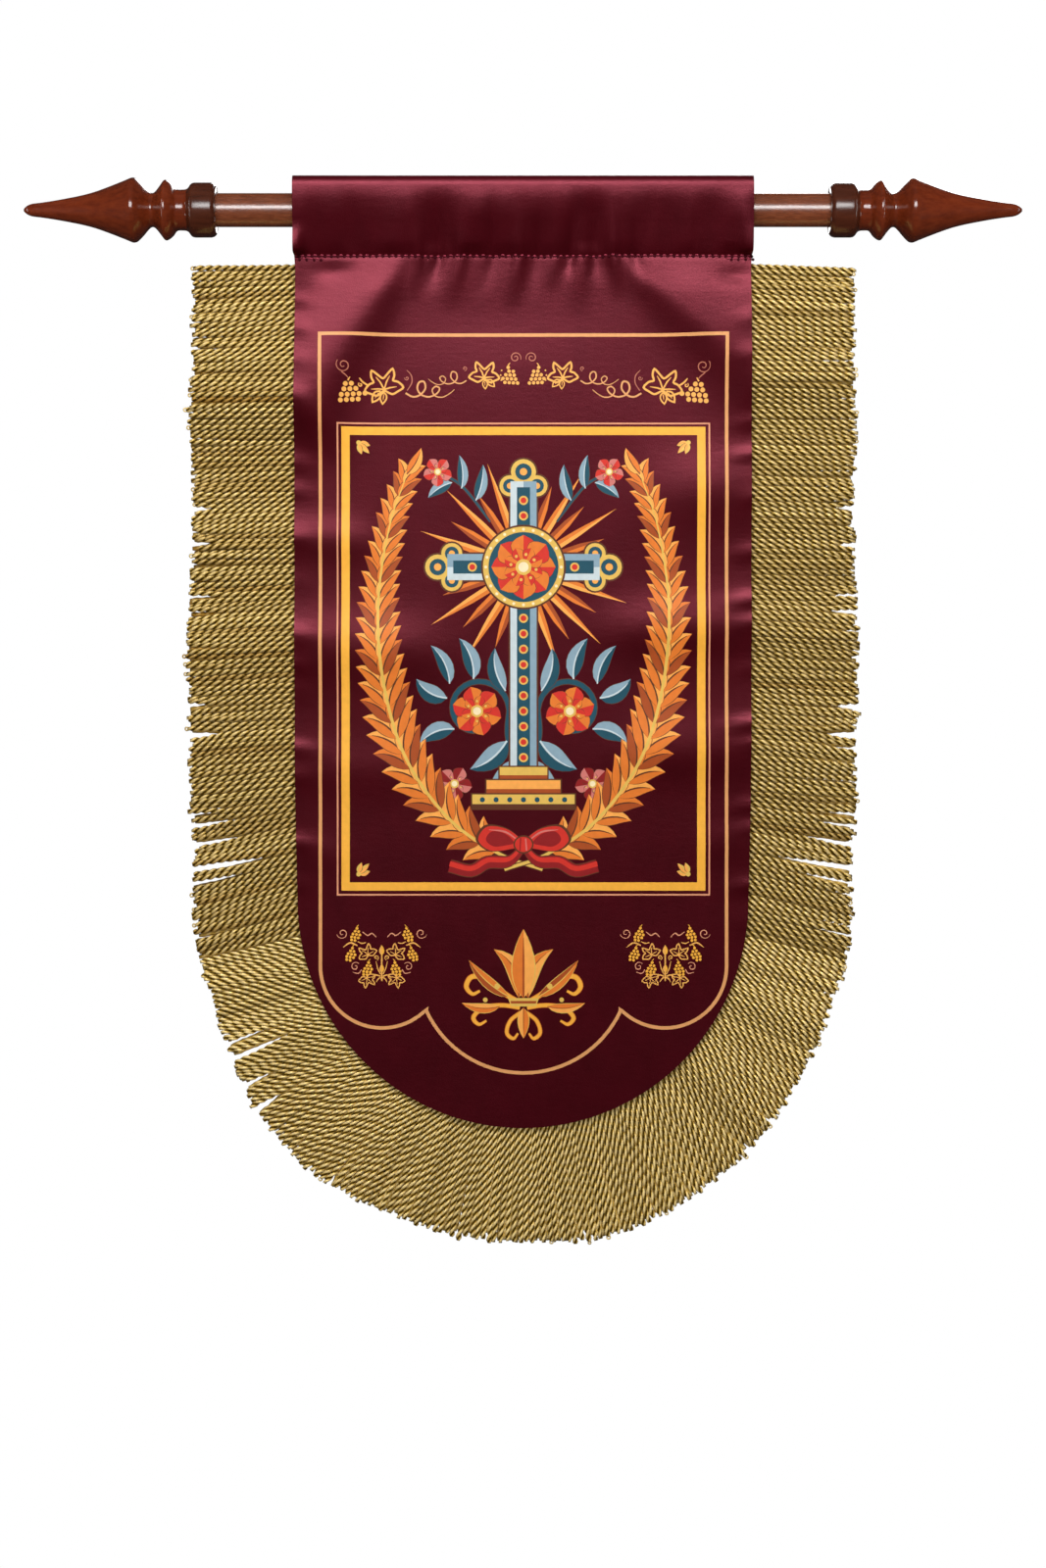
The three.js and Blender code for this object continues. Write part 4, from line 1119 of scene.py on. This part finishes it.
def build_panel():
    draw_borders()
    draw_vine()
    draw_lower_clusters()
    draw_middle()
    draw_foot_motif(AXIS, 654)
    edge = outline()
    fine = rows_of([(34, 2.0), (45, 1.4), (112, 2.4), (771, 4.0)])
    flat, tris, rim = triangulate(edge, grid_points(fine, 4.0, 112, 3.0), SHAPES, 1.1)
    mid = flat[tris].mean(1)
    slots = np.zeros(len(tris), np.int32)
    for ink, rings in SHAPES:
        low, high = np.min([r.min(0) for r in rings], 0), np.max([r.max(0) for r in rings], 0)
        near = np.nonzero((mid[:, 0] > low[0]) & (mid[:, 0] < high[0]) & (mid[:, 1] > low[1]) & (mid[:, 1] < high[1]))[0]
        if len(near):
            hit = near[inside(rings, mid[near, 0], mid[near, 1])]
            slots[hit] = 2 + INK_NAMES.index(ink)
    coarse = rows_of([(34, 2.6), (45, 2.2), (112, 3.4), (771, 6.0)])
    flat_b, tris_b, rim_b = triangulate(edge, grid_points(coarse, 6.0, 112, 4.2), [], 0)

    def lay(f, sign):
        return cloth_middle(f[:, 0], f[:, 1]) + sign * CLOTH / 2 * cloth_normal(f[:, 0], f[:, 1])

    front, back = lay(flat, 1), lay(flat_b, -1)

    def wound(points, flat2, t, sign):
        a, b, c = points[t[:, 0]], points[t[:, 1]], points[t[:, 2]]
        m = flat2[t].mean(1)
        facing = (np.cross(b - a, c - a) * cloth_normal(m[:, 0], m[:, 1]) * sign).sum(1)
        t = t.copy()
        t[facing < 0] = t[facing < 0][:, [0, 2, 1]]
        return t

    tf, tb = wound(front, flat, tris, 1), wound(back, flat_b, tris_b, -1) + len(front)
    n = len(rim)
    nxt = np.roll(np.arange(n), -1)
    strip = np.stack([rim, rim[nxt], rim_b[nxt] + len(front), rim_b + len(front)], 1)
    # the strip must run against the front's own edges
    used = {(int(a), int(b)) for t in tf for a, b in ((t[0], t[1]), (t[1], t[2]), (t[2], t[0]))}
    if (int(rim[0]), int(rim[1])) in used:
        strip = strip[:, ::-1]
    verts = np.vstack([front, back])
    faces = np.vstack([tf, tb, strip[:, [0, 1, 2]], strip[:, [0, 2, 3]]])
    all_slots = np.concatenate([slots, np.ones(len(faces) - len(slots), np.int32)])
    mats = [satin_material(), reverse_material()] + [ink_material(k, INKS[k]) for k in INK_NAMES]
    obj = mesh_object("banner_panel", verts, faces, mats, all_slots)
    on_rim = np.zeros(len(verts), bool)
    on_rim[rim] = on_rim[rim_b + len(front)] = True
    sharpen(obj, on_rim)
    both = np.vstack([flat, flat_b])
    point_values(obj, "flat", np.column_stack([both, np.zeros(len(both))]))
    # a flat map for textures: the front on the left half, the back on the right
    u = (both[:, 0] + 196) / 392 * 0.48 + 0.01
    v = 1 - (both[:, 1] - Q_TOP + 2) / (FOOT + FOOT_DEEP - Q_TOP + 4)
    u[len(flat):] = 1 - u[len(flat):]
    uv = obj.data.uv_layers.new(name="OFBake")
    index = np.empty(len(obj.data.loops), np.int32)
    obj.data.loops.foreach_get("vertex_index", index)
    uv.data.foreach_set("uv", np.column_stack([u[index], v[index]]).astype(np.float32).ravel())
    return obj


def build_stitches():
    """The row of stitches on the pocket's seam, doubled at both ends, and the same behind.
    Each stitch is a short bar of thread, with a dark bead beside it that is painted shade standing for the needle's
    hole."""
    verts, faces, slots = [], [], []

    def bead(x, q, long, high, thick, side, slot, lift=0.18):
        c = cloth_middle(np.array([x]), np.array([q]))[0]
        y = c[1] + (-CLOTH / 2 if side < 0 else CLOTH / 2)
        base = len(verts)
        rings, around = 5, 8
        for i in range(rings):
            t = -1 + 2 * i / (rings - 1)
            r = math.sqrt(max(0.0, 1 - t * t)) * 0.86 + 0.14
            for k in range(around):
                a = 2 * math.pi * k / around
                verts.append((x + t * long / 2, y + side * lift + thick * r * math.sin(a), c[2] + high / 2 * r * math.cos(a)))
        for i in range(rings - 1):
            for k in range(around):
                a, b = base + i * around + k, base + i * around + (k + 1) % around
                faces.append((a, b, b + around, a + around))
        faces.append(tuple(base + k for k in reversed(range(around))))
        faces.append(tuple(base + (rings - 1) * around + k for k in range(around)))
        slots.extend([slot] * (len(faces) - len(slots)))

    def row(x0, x1, q, side, drift):
        n = round((x1 - x0) / 5.45)
        for k in range(n + 1):
            x = x0 + (x1 - x0) * k / n
            wob = rng.normal(0, 0.16)
            bead(x + rng.normal(0, 0.12), q - 0.9 + drift * math.sin(0.05 * x) + wob, 3.2, 1.5, 0.5, side, 0, 0.34)
            # a near-black bead as painted shade for the needle's hole
            bead(x + 2.72, q + 0.1 + drift * math.sin(0.05 * x), 2.7, 2.6, 0.34, side, 1, 0.2)

    row(-190.5, 189.0, SEAM + 0.5, -1, 0.25)
    row(-190.5, 189.0, SEAM - SEAM_BACK - 0.5, 1, 0.2)
    for side in (-1, 1):
        x0, x1 = sorted((side * 190.0, side * 172.0))
        row(x0, x1, SEAM + 3.2, -1, 0.1)
    obj = mesh_object("seam_stitches", verts, faces, [thread_material(), hole_shade_material()], slots)
    return obj


# ------------------------------------------------------------------ fringe
# Two plies laid together: points round the cord's section as (angle, radius), with a painted shade mask that is 0 on
# the plies' crests (painted highlight) and 1 deep in the grooves (painted shade). The cords behind are rounder, so that
# they close the gaps.
def section(half):
    ring = half + [(a + 180, r) for a, r in half]
    radius = np.array([r for _, r in ring])
    return np.radians([a for a, _ in ring]), radius, np.clip((2.45 - radius) / 0.86, 0, 1)


FRONT_PLIES = section([(0, 2.74), (40, 2.34), (72, 1.58), (108, 1.58), (140, 2.34)])
BACK_PLIES = section([(0, 2.56), (55, 2.22), (125, 2.22)])


def edge_at(side, angle):
    a = np.radians(angle)
    return np.array([side * float(half_width(FOOT)) * math.cos(a), FOOT + FOOT_DEEP * math.sin(a)])


class Comb:
    """The cords of one length of fringe, gathered as one mesh."""

    def __init__(self):
        self.v, self.f, self.tone, self.groove, self.count = [], [], [], [], 0

    def tube(self, path, plies, phase, hand, tone, scale, turn=CORD_TURN):
        """A twisted cord along path; scale is its thickness along it."""
        angle, radius, deep = plies
        d = np.gradient(path, axis=0)
        d /= np.linalg.norm(d, axis=1, keepdims=True)
        b = np.array([0, 1.0, 0]) - d * d[:, 1:2]
        b /= np.linalg.norm(b, axis=1, keepdims=True)
        a = np.cross(b, d)
        way = np.concatenate([[0], np.cumsum(np.linalg.norm(np.diff(path, axis=0), axis=1))])
        ang = phase + hand * 2 * math.pi * way / turn
        th = angle[None, :] + ang[:, None]
        r = radius[None, :] * np.asarray(scale)[:, None]
        p = path[:, None, :] + r[..., None] * (np.cos(th)[..., None] * a[:, None, :] + np.sin(th)[..., None] * b[:, None, :])
        n, m = th.shape
        base = self.count
        self.v.append(p.reshape(-1, 3))
        i = np.arange(n - 1)[:, None] * m
        k = np.arange(m)[None, :]
        k2 = (k + 1) % m
        q = np.stack([i + k, i + k2, i + m + k2, i + m + k], -1).reshape(-1, 4) + base
        cap = np.array([(0, k + 1, k + 2, k + 3) for k in range(0, m - 3, 2)])
        self.f += [q, cap[:, ::-1] + base, cap + base + (n - 1) * m]
        self.tone.append(np.full(n * m, tone))
        # deep is the painted shade mask of the section, copied onto each ring of the cord
        self.groove.append(np.tile(deep, n))
        self.count += n * m

    def ring(self, centre, across, out, r, thick, tone):
        """A small open loop at a cord's tip."""
        n, m = 14, 6
        base = self.count
        pts = []
        for i in range(n):
            a = 2 * math.pi * i / n
            radial = across * math.cos(a) + out * math.sin(a)
            for k in range(m):
                b = 2 * math.pi * k / m
                pts.append(centre + radial * (r + thick * math.cos(b)) + np.array([0, 1.0, 0]) * thick * math.sin(b))
        i, k = np.arange(n)[:, None], np.arange(m)[None, :]
        j, k2 = (i + 1) % n, (k + 1) % m
        self.f.append(np.stack([i * m + k, j * m + k, j * m + k2, i * m + k2], -1).reshape(-1, 4) + base)
        self.v.append(np.array(pts))
        self.tone.append(np.full(n * m, tone))
        # the tip loops get no painted shade, only the crest's painted highlight colour
        self.groove.append(np.zeros(n * m))
        self.count += n * m

    def done(self, name, material):
        obj = mesh_object(name, np.vstack(self.v), np.vstack(self.f), [material])
        point_values(obj, "tone", np.concatenate(self.tone))
        point_values(obj, "groove", np.concatenate(self.groove))
        return obj


def lay_cords(name, stations, hand, drift, slits, material, layer, lift, slim=1.0, beyond=False, loose=1.0):
    """Cords at stations of (edge, way, length, place in mm along the edge). Layer 0 lies in
    front; layer 1 lies behind, half a pitch along. "drift" is the way the twists step from
    cord to cord, "slim" their thickness at the root, "loose" how far they part."""
    comb = Comb()
    if layer:
        between = [((a[0] + b[0]) / 2, a[1] + b[1], (a[2] + b[2]) / 2, (a[3] + b[3]) / 2) for a, b in zip(stations[:-1], stations[1:])]
        if beyond:      # one more under the seam at the lower end
            a, b = stations[-2:]
            between.append((b[0] + (b[0] - a[0]) / 2, b[1], b[2], b[3] + (b[3] - a[3]) / 2))
        stations = between
    count = len(stations)
    wander = np.cumsum(rng.normal(0, 0.35, count))
    wander -= np.convolve(np.pad(wander, 8, mode="edge"), np.ones(17) / 17, "valid")
    phase = np.cumsum(rng.normal(2.14 * drift, 0.52, count))
    # the cords in front part here and there over those behind
    parts = [] if layer else [(rng.uniform(stations[0][3], stations[-1][3]), rng.uniform(24, 60), rng.uniform(0.6, 1.2) * loose) for _ in range(count // 8)]
    edges = np.array([s[0] for s in stations])
    roots = main_folds(edges[:, 0], edges[:, 1])
    for i, (edge, way, length, place) in enumerate(stations):
        way = way / np.hypot(*way)
        across = np.array([-way[1], way[0]])
        long = length + rng.normal(0, 1.2) - (2.0 if layer else 0) - max(0, rng.normal(0, 1) - 1.3) * 4
        n = int(long / CORD_TURN * (5.6 if layer else 8.4))
        t = np.linspace(0, 1, n)
        reach = -4.0 + (long + 4.0) * t
        side = loose * (wander[i] * t ** 1.5 * 1.1 + rng.normal(0, 0.8) * t ** 2) + rng.normal(0, 0.25) * np.sin(math.pi * t)
        for at, depth, gape in slits + parts:
            gap = place - at
            side -= drift * math.copysign(1, gap) * gape * math.exp(-abs(gap) / 9.0) * smooth((reach - (long - depth)) / (0.8 * depth))
        y = CLEAR - roots[i] + (3.0 if layer == 0 else 6.2) + rng.normal(0, 0.25) + rng.normal(0, 0.6) * t ** 2
        flat = edge[None, :] + reach[:, None] * way[None, :] + side[:, None] * across[None, :]
        path = np.stack([flat[:, 0], y, -flat[:, 1]], 1)
        scale = slim + (1 - slim) * np.clip(reach / 75, 0, 1)
        scale[-3:] *= [1.0, 0.93, 0.66]
        # tone is random per cord plus painted light: lift brightens or darkens a whole length of fringe to even out the
        # lamps, and the cords behind are painted 0.25 darker as painted shade
        tone = np.clip(0.5 + lift + rng.normal(0, 0.10) - (0.22 if rng.random() < 0.10 else 0) - 0.25 * layer, 0, 1)
        comb.tube(path, BACK_PLIES if layer else FRONT_PLIES, phase[i], hand, tone, scale, CORD_TURN * (1 + rng.normal(0, 0.03)))
        if layer == 0 and rng.random() < 0.08:
            d = path[-1] - path[-3]
            d /= np.linalg.norm(d)
            comb.ring(path[-1] + d * 0.5, np.cross(d, [0, 1.0, 0]), d, 1.1 + rng.random() * 0.4, 0.66, tone)
    return comb.done(name, material)


def side_stations(side):
    per = FOOT_DEEP * math.pi / 180
    end = FOOT + (SEAM_ANGLE - SEAM_GAP) * per
    n = int((end - TOP_DROP) / CORD_PITCH)
    out = []
    for k in range(n):
        at = TOP_DROP + 1.0 + (end - TOP_DROP - 2.2) * k / (n - 1)
        angle = max(0.0, (at - FOOT) / per)
        edge = edge_at(side, angle) if angle > 0 else np.array([side * float(half_width(at)), at])
        below = math.radians(np.interp(at, SIDE_CORDS[:, 0], SIDE_CORDS[:, 1]))
        length = float(np.interp(at, SIDE_CORDS[:, 0], SIDE_CORDS[:, 2]))
        out.append((edge, np.array([side * math.cos(below), math.sin(below)]), length, at))
    return out


def foot_stations():
    per = FOOT_DEEP * math.pi / 180
    first = SEAM_ANGLE + SEAM_GAP
    n = int((180 - 2 * first) * per / FOOT_PITCH)
    out = []
    for k in range(n):
        turn = first + 0.30 + (180 - 2 * first - 0.60) * k / (n - 1)
        side, angle = (-1, turn) if turn <= 90 else (1, 180 - turn)
        below = math.radians(np.interp(angle, FOOT_CORDS[:, 0], FOOT_CORDS[:, 1]))
        length = float(np.interp(angle, FOOT_CORDS[:, 0], FOOT_CORDS[:, 2 if side < 0 else 3]))
        out.append((edge_at(side, angle), np.array([side * math.cos(below), math.sin(below)]), length, turn * per))
    return out


def lay_heading(name, stations, material):
    """The woven heading that the cords hang from, sewn behind the panel's edge."""
    rows = [(-HEADING, 0.2), (-HEADING + 1.2, 0.9), (-7.5, 3.6), (-4.5, 7.4), (1.2, 7.9), (1.8, 7.2)]
    fine = []
    for a, b in zip(stations[:-1], stations[1:]):
        for t in (0, 0.5):
            fine.append((a[0] + (b[0] - a[0]) * t, a[3] + (b[3] - a[3]) * t))
    fine.append((stations[-1][0], stations[-1][3]))
    edges = np.array([f[0] for f in fine])
    tan = np.gradient(edges, axis=0)
    tan /= np.linalg.norm(tan, axis=1, keepdims=True)
    mid = np.array([0, 400.0])
    verts, faces = [], []
    m = len(rows)
    for k, (edge, place) in enumerate(fine):
        out = np.array([tan[k, 1], -tan[k, 0]])
        if np.dot(out, edge - mid) < 0:
            out = -out
        rib = 0.22 if k % 2 else 0.0
        for inner in (0, 1):
            for off, y in rows:
                p = edge + out * off
                root = float(main_folds(np.array([edge[0]]), np.array([edge[1]]))[0])
                behind = float(main_folds(np.array([p[0]]), np.array([p[1]]))[0])
                lift = root + (behind - root) * np.clip(-off / HEADING, 0, 1)
                verts.append((p[0], CLEAR - lift + y + (1.0 + rib if inner else 0.0), -p[1]))
    for k in range(len(fine) - 1):
        a, b = k * 2 * m, (k + 1) * 2 * m
        for j in range(m - 1):
            faces.append((a + j, a + j + 1, b + j + 1, b + j))
            faces.append((a + m + j, b + m + j, b + m + j + 1, a + m + j + 1))
        faces.append((a, b, b + m, a + m))
        faces.append((a + m - 1, a + 2 * m - 1, b + 2 * m - 1, b + m - 1))
    last = (len(fine) - 1) * 2 * m
    for j in range(m - 1):
        faces.append((j, m + j, m + j + 1, j + 1))
        faces.append((last + j, last + j + 1, last + m + j + 1, last + m + j))
    obj = mesh_object(name, verts, faces, [material], shade=False)
    tidy = bmesh.new()
    tidy.from_mesh(obj.data)
    bmesh.ops.recalc_face_normals(tidy, faces=tidy.faces)
    tidy.to_mesh(obj.data)
    tidy.free()
    return obj


# ------------------------------------------------------------------ rod and finials
def lathe(name, profile, sides, materials, side, at, second_until=-1e9):
    """A turned piece about X: profile of (out, radius), closed on the axis at both ends. The
    second material lies on the part that ends "second_until" out."""
    verts, faces, rings, slots = [], [], [], []
    for out, r in profile:
        ring = []
        count = 1 if r < 1e-6 else sides
        for k in range(count):
            a = 2 * math.pi * k / sides
            ring.append(len(verts))
            verts.append((side * (at + out), r * math.sin(a), r * math.cos(a)))
        rings.append(ring)
    for j, (a, b) in enumerate(zip(rings[:-1], rings[1:])):
        slots += [1 if (profile[j][0] + profile[j + 1][0]) / 2 < second_until else 0] * sides
        for k in range(sides):
            k2 = (k + 1) % sides
            if len(a) == 1:
                faces.append((a[0], b[k], b[k2]))
            elif len(b) == 1:
                faces.append((a[k], b[0], a[k2]))
            else:
                faces.append((a[k], b[k], b[k2], a[k2]))
    obj = mesh_object(name, verts, faces, materials, slots)
    tidy = bmesh.new()
    tidy.from_mesh(obj.data)
    bmesh.ops.recalc_face_normals(tidy, faces=tidy.faces)
    tidy.to_mesh(obj.data)
    tidy.free()
    return obj


def finial_profile():
    p = np.array(FINIAL)
    body = spline(p[4:-1], 3)
    mouth = p[:4]
    inside_socket = [(SOCKET_DEPTH, 0), (SOCKET_DEPTH, SOCKET_R), (0.6, SOCKET_R), (0.0, SOCKET_R + 0.6), (0.0, 19.4)]
    return inside_socket + [tuple(v) for v in mouth] + [tuple(v) for v in body] + [(p[-1][0] - 0.3, 1.1), (p[-1][0], 0.0)]


# ------------------------------------------------------------------ put together
panel = build_panel()
stitches = build_stitches()
gold, tape = cord_material(), tape_material()
per_degree = FOOT_DEEP * math.pi / 180
foot_slits = [(a * per_degree, d, g) for a, d, g in FOOT_SLITS]
fringes, under, headings = {}, {}, {}
# lift is painted light: a tone lift per length of fringe, highest for the foot, which the lamps reach less
for key, stations, hand, drift, slits, lift, slim in [
        ("left", side_stations(-1), -1, 1, SIDE_SLITS, -0.04, 1.0), ("right", side_stations(1), 1, -1, SIDE_SLITS, 0.10, 1.0),
        ("foot", foot_stations(), 1, 1, foot_slits, 0.46, 0.84)]:
    fringes[key] = lay_cords("fringe_cords_" + key, stations, hand, drift, slits, gold, 0, lift, slim, loose=0.5 if key == "foot" else 1.0)
    under[key] = lay_cords("fringe_under_" + key, stations, hand, drift, slits, gold, 1, lift, slim, key != "foot", 0.5 if key == "foot" else 1.0)
    headings[key] = lay_heading("fringe_heading_" + key, stations, tape)

red_wood = wood_material("finial_wood", (0.100, 0.0145, 0.0040), (0.146, 0.022, 0.006), (0.185, 0.031, 0.009), 0.13, 1.65, 0.16, 260.0)
dark_wood = wood_material("collar_wood", (0.048, 0.0105, 0.004), (0.066, 0.0150, 0.006), (0.086, 0.021, 0.009), 0.19, 1.62, 0.16, 260.0)
brown_wood = wood_material("rod_wood", (0.130, 0.029, 0.009), (0.205, 0.051, 0.018), (0.285, 0.084, 0.034), 0.24, 1.95, 0.14, 700.0)
rod = lathe("rod_turned", [(-ROD_HALF, 0), (-ROD_HALF, ROD_R), (0.6 - ROD_HALF, ROD_R), (-200, ROD_R), (-100, ROD_R), (0, ROD_R), (100, ROD_R), (200, ROD_R), (ROD_HALF - 0.6, ROD_R), (ROD_HALF, ROD_R), (ROD_HALF, 0)], 72, [brown_wood], 1, 0)
finials = {s: lathe("finial_turned_" + n, finial_profile(), 72, [red_wood, dark_wood], s, MOUTH, 24.0) for s, n in ((-1, "left"), (1, "right"))}

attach(panel, "root")
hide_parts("panel")
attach(stitches, "root")
for key in fringes:
    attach(fringes[key], "root")
    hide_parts("fringe_" + key)
    for extra in (under[key], headings[key]):
        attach(extra, "root")
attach(rod, "root")
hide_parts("rod")
for s, n in ((-1, "left"), (1, "right")):
    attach(finials[s], "root")
    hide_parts("finial_" + n)

# ------------------------------------------------------------------ stage, camera, light
scene = bpy.context.scene
white, wnt, _ = new_material("stage_white")
for n in list(wnt.nodes):
    wnt.nodes.remove(n)
out = wnt.nodes.new("ShaderNodeOutputMaterial")
glow = wnt.nodes.new("ShaderNodeEmission")
glow.inputs["Color"].default_value = (1, 1, 1, 1)
glow.inputs["Strength"].default_value = 1.0
wnt.links.new(glow.outputs[0], out.inputs["Surface"])


def stage_piece(name, verts, faces):
    obj = mesh_object(name, verts, faces, [white])
    obj.visible_diffuse = obj.visible_glossy = obj.visible_transmission = obj.visible_shadow = False
    return obj


floor = stage_piece("floor", [(9000 * math.cos(a), 9000 * math.sin(a), -1400) for a in np.radians(np.arange(0, 360, 5))], [list(range(72))])
dome_v, dome_f = [], []
for i in range(13):
    el = math.radians(-10 + 100 * i / 12)
    for k in range(48):
        a = 2 * math.pi * k / 48
        dome_v.append((8900 * math.cos(el) * math.cos(a), 8900 * math.cos(el) * math.sin(a), -1390 + 8900 * math.sin(el)))
for i in range(12):
    for k in range(48):
        dome_f.append((i * 48 + k, i * 48 + (k + 1) % 48, (i + 1) * 48 + (k + 1) % 48, (i + 1) * 48 + k))
backdrop = stage_piece("backdrop", dome_v, dome_f)

camera = bpy.data.cameras.new("camera")
camera.sensor_width = 36.0
FRAME_TALL, DISTANCE = 1.3176, 2.4
camera.lens = 18.0 / (FRAME_TALL / 2 / DISTANCE)
camera.clip_end = 50
cam = bpy.data.objects.new("camera", camera)
cam.location = (0, -DISTANCE, -0.4822)
cam.rotation_euler = (math.pi / 2, 0, 0)
scene.collection.objects.link(cam)
scene.camera = cam


def area_light(name, at, target, wide, tall, watts, colour=(1, 1, 1)):
    data = bpy.data.lights.new(name, "AREA")
    data.shape = "RECTANGLE"
    data.size, data.size_y = wide, tall
    data.energy = watts
    data.color = colour
    obj = bpy.data.objects.new(name, data)
    obj.location = at
    obj.rotation_euler = (Vector(target) - Vector(at)).to_track_quat("-Z", "Y").to_euler()
    obj.visible_camera = False
    scene.collection.objects.link(obj)
    return obj


key = area_light("key", (-0.12, -1.20, 0.75), (0, 0, -0.30), 1.5, 0.55, 31)
for side, name, watts in ((-1, "side_left", 12.5), (1, "side_right", 12)):
    # soft fill from both sides that leaves no gloss of its own
    area_light(name, (side * 1.35, -1.75, -0.70), (0, 0, -0.56), 0.9, 1.5, watts).visible_glossy = False
# a box in front and a strip at each end, for the varnish only
varnished = bpy.data.collections.new("varnished")
for obj in (rod, *finials.values()):
    varnished.objects.link(obj)
area_light("front", (0, -2.6, 0.46), (0, 0, 0), 2.2, 0.8, 58).light_linking.receiver_collection = varnished
for side, obj in zip((-1, 1), sorted(finials.values(), key=lambda o: o.name)):
    end = bpy.data.collections.new("end_" + obj.name)
    end.objects.link(obj)
    strip = area_light("edge_" + obj.name, (side * 2.6, -0.8, 0.05), (0, 0, 0), 0.2, 2.2, 14)
    strip.light_linking.receiver_collection = end
above = area_light("above", (0, -0.5, 1.5), (0, 0, 0), 2.2, 0.7, 13)
above.visible_glossy = False
above.light_linking.receiver_collection = varnished
shaded = bpy.data.collections.new("shaded")
for obj in (rod, *finials.values()):
    shaded.objects.link(obj)
key.light_linking.receiver_collection = shaded
for link in shaded.collection_objects:
    link.light_linking.link_state = "EXCLUDE"
# fill from below for the cords of the foot
fringed = bpy.data.collections.new("fringed")
for obj in (*fringes.values(), *under.values()):
    fringed.objects.link(obj)
area_light("low", (0, -1.7, -1.35), (0, 0, -0.75), 1.4, 0.4, 6).light_linking.receiver_collection = fringed
area_light("behind", (0.6, 2.2, 0.9), (0, 0, -0.40), 1.8, 1.2, 40)
world = bpy.data.worlds.new("world")
world.use_nodes = True
world.node_tree.nodes["Background"].inputs["Color"].default_value = (1, 1, 1, 1)
world.node_tree.nodes["Background"].inputs["Strength"].default_value = 0.03
scene.world = world
scene.view_settings.view_transform = "Standard"
scene.view_settings.look = "None"
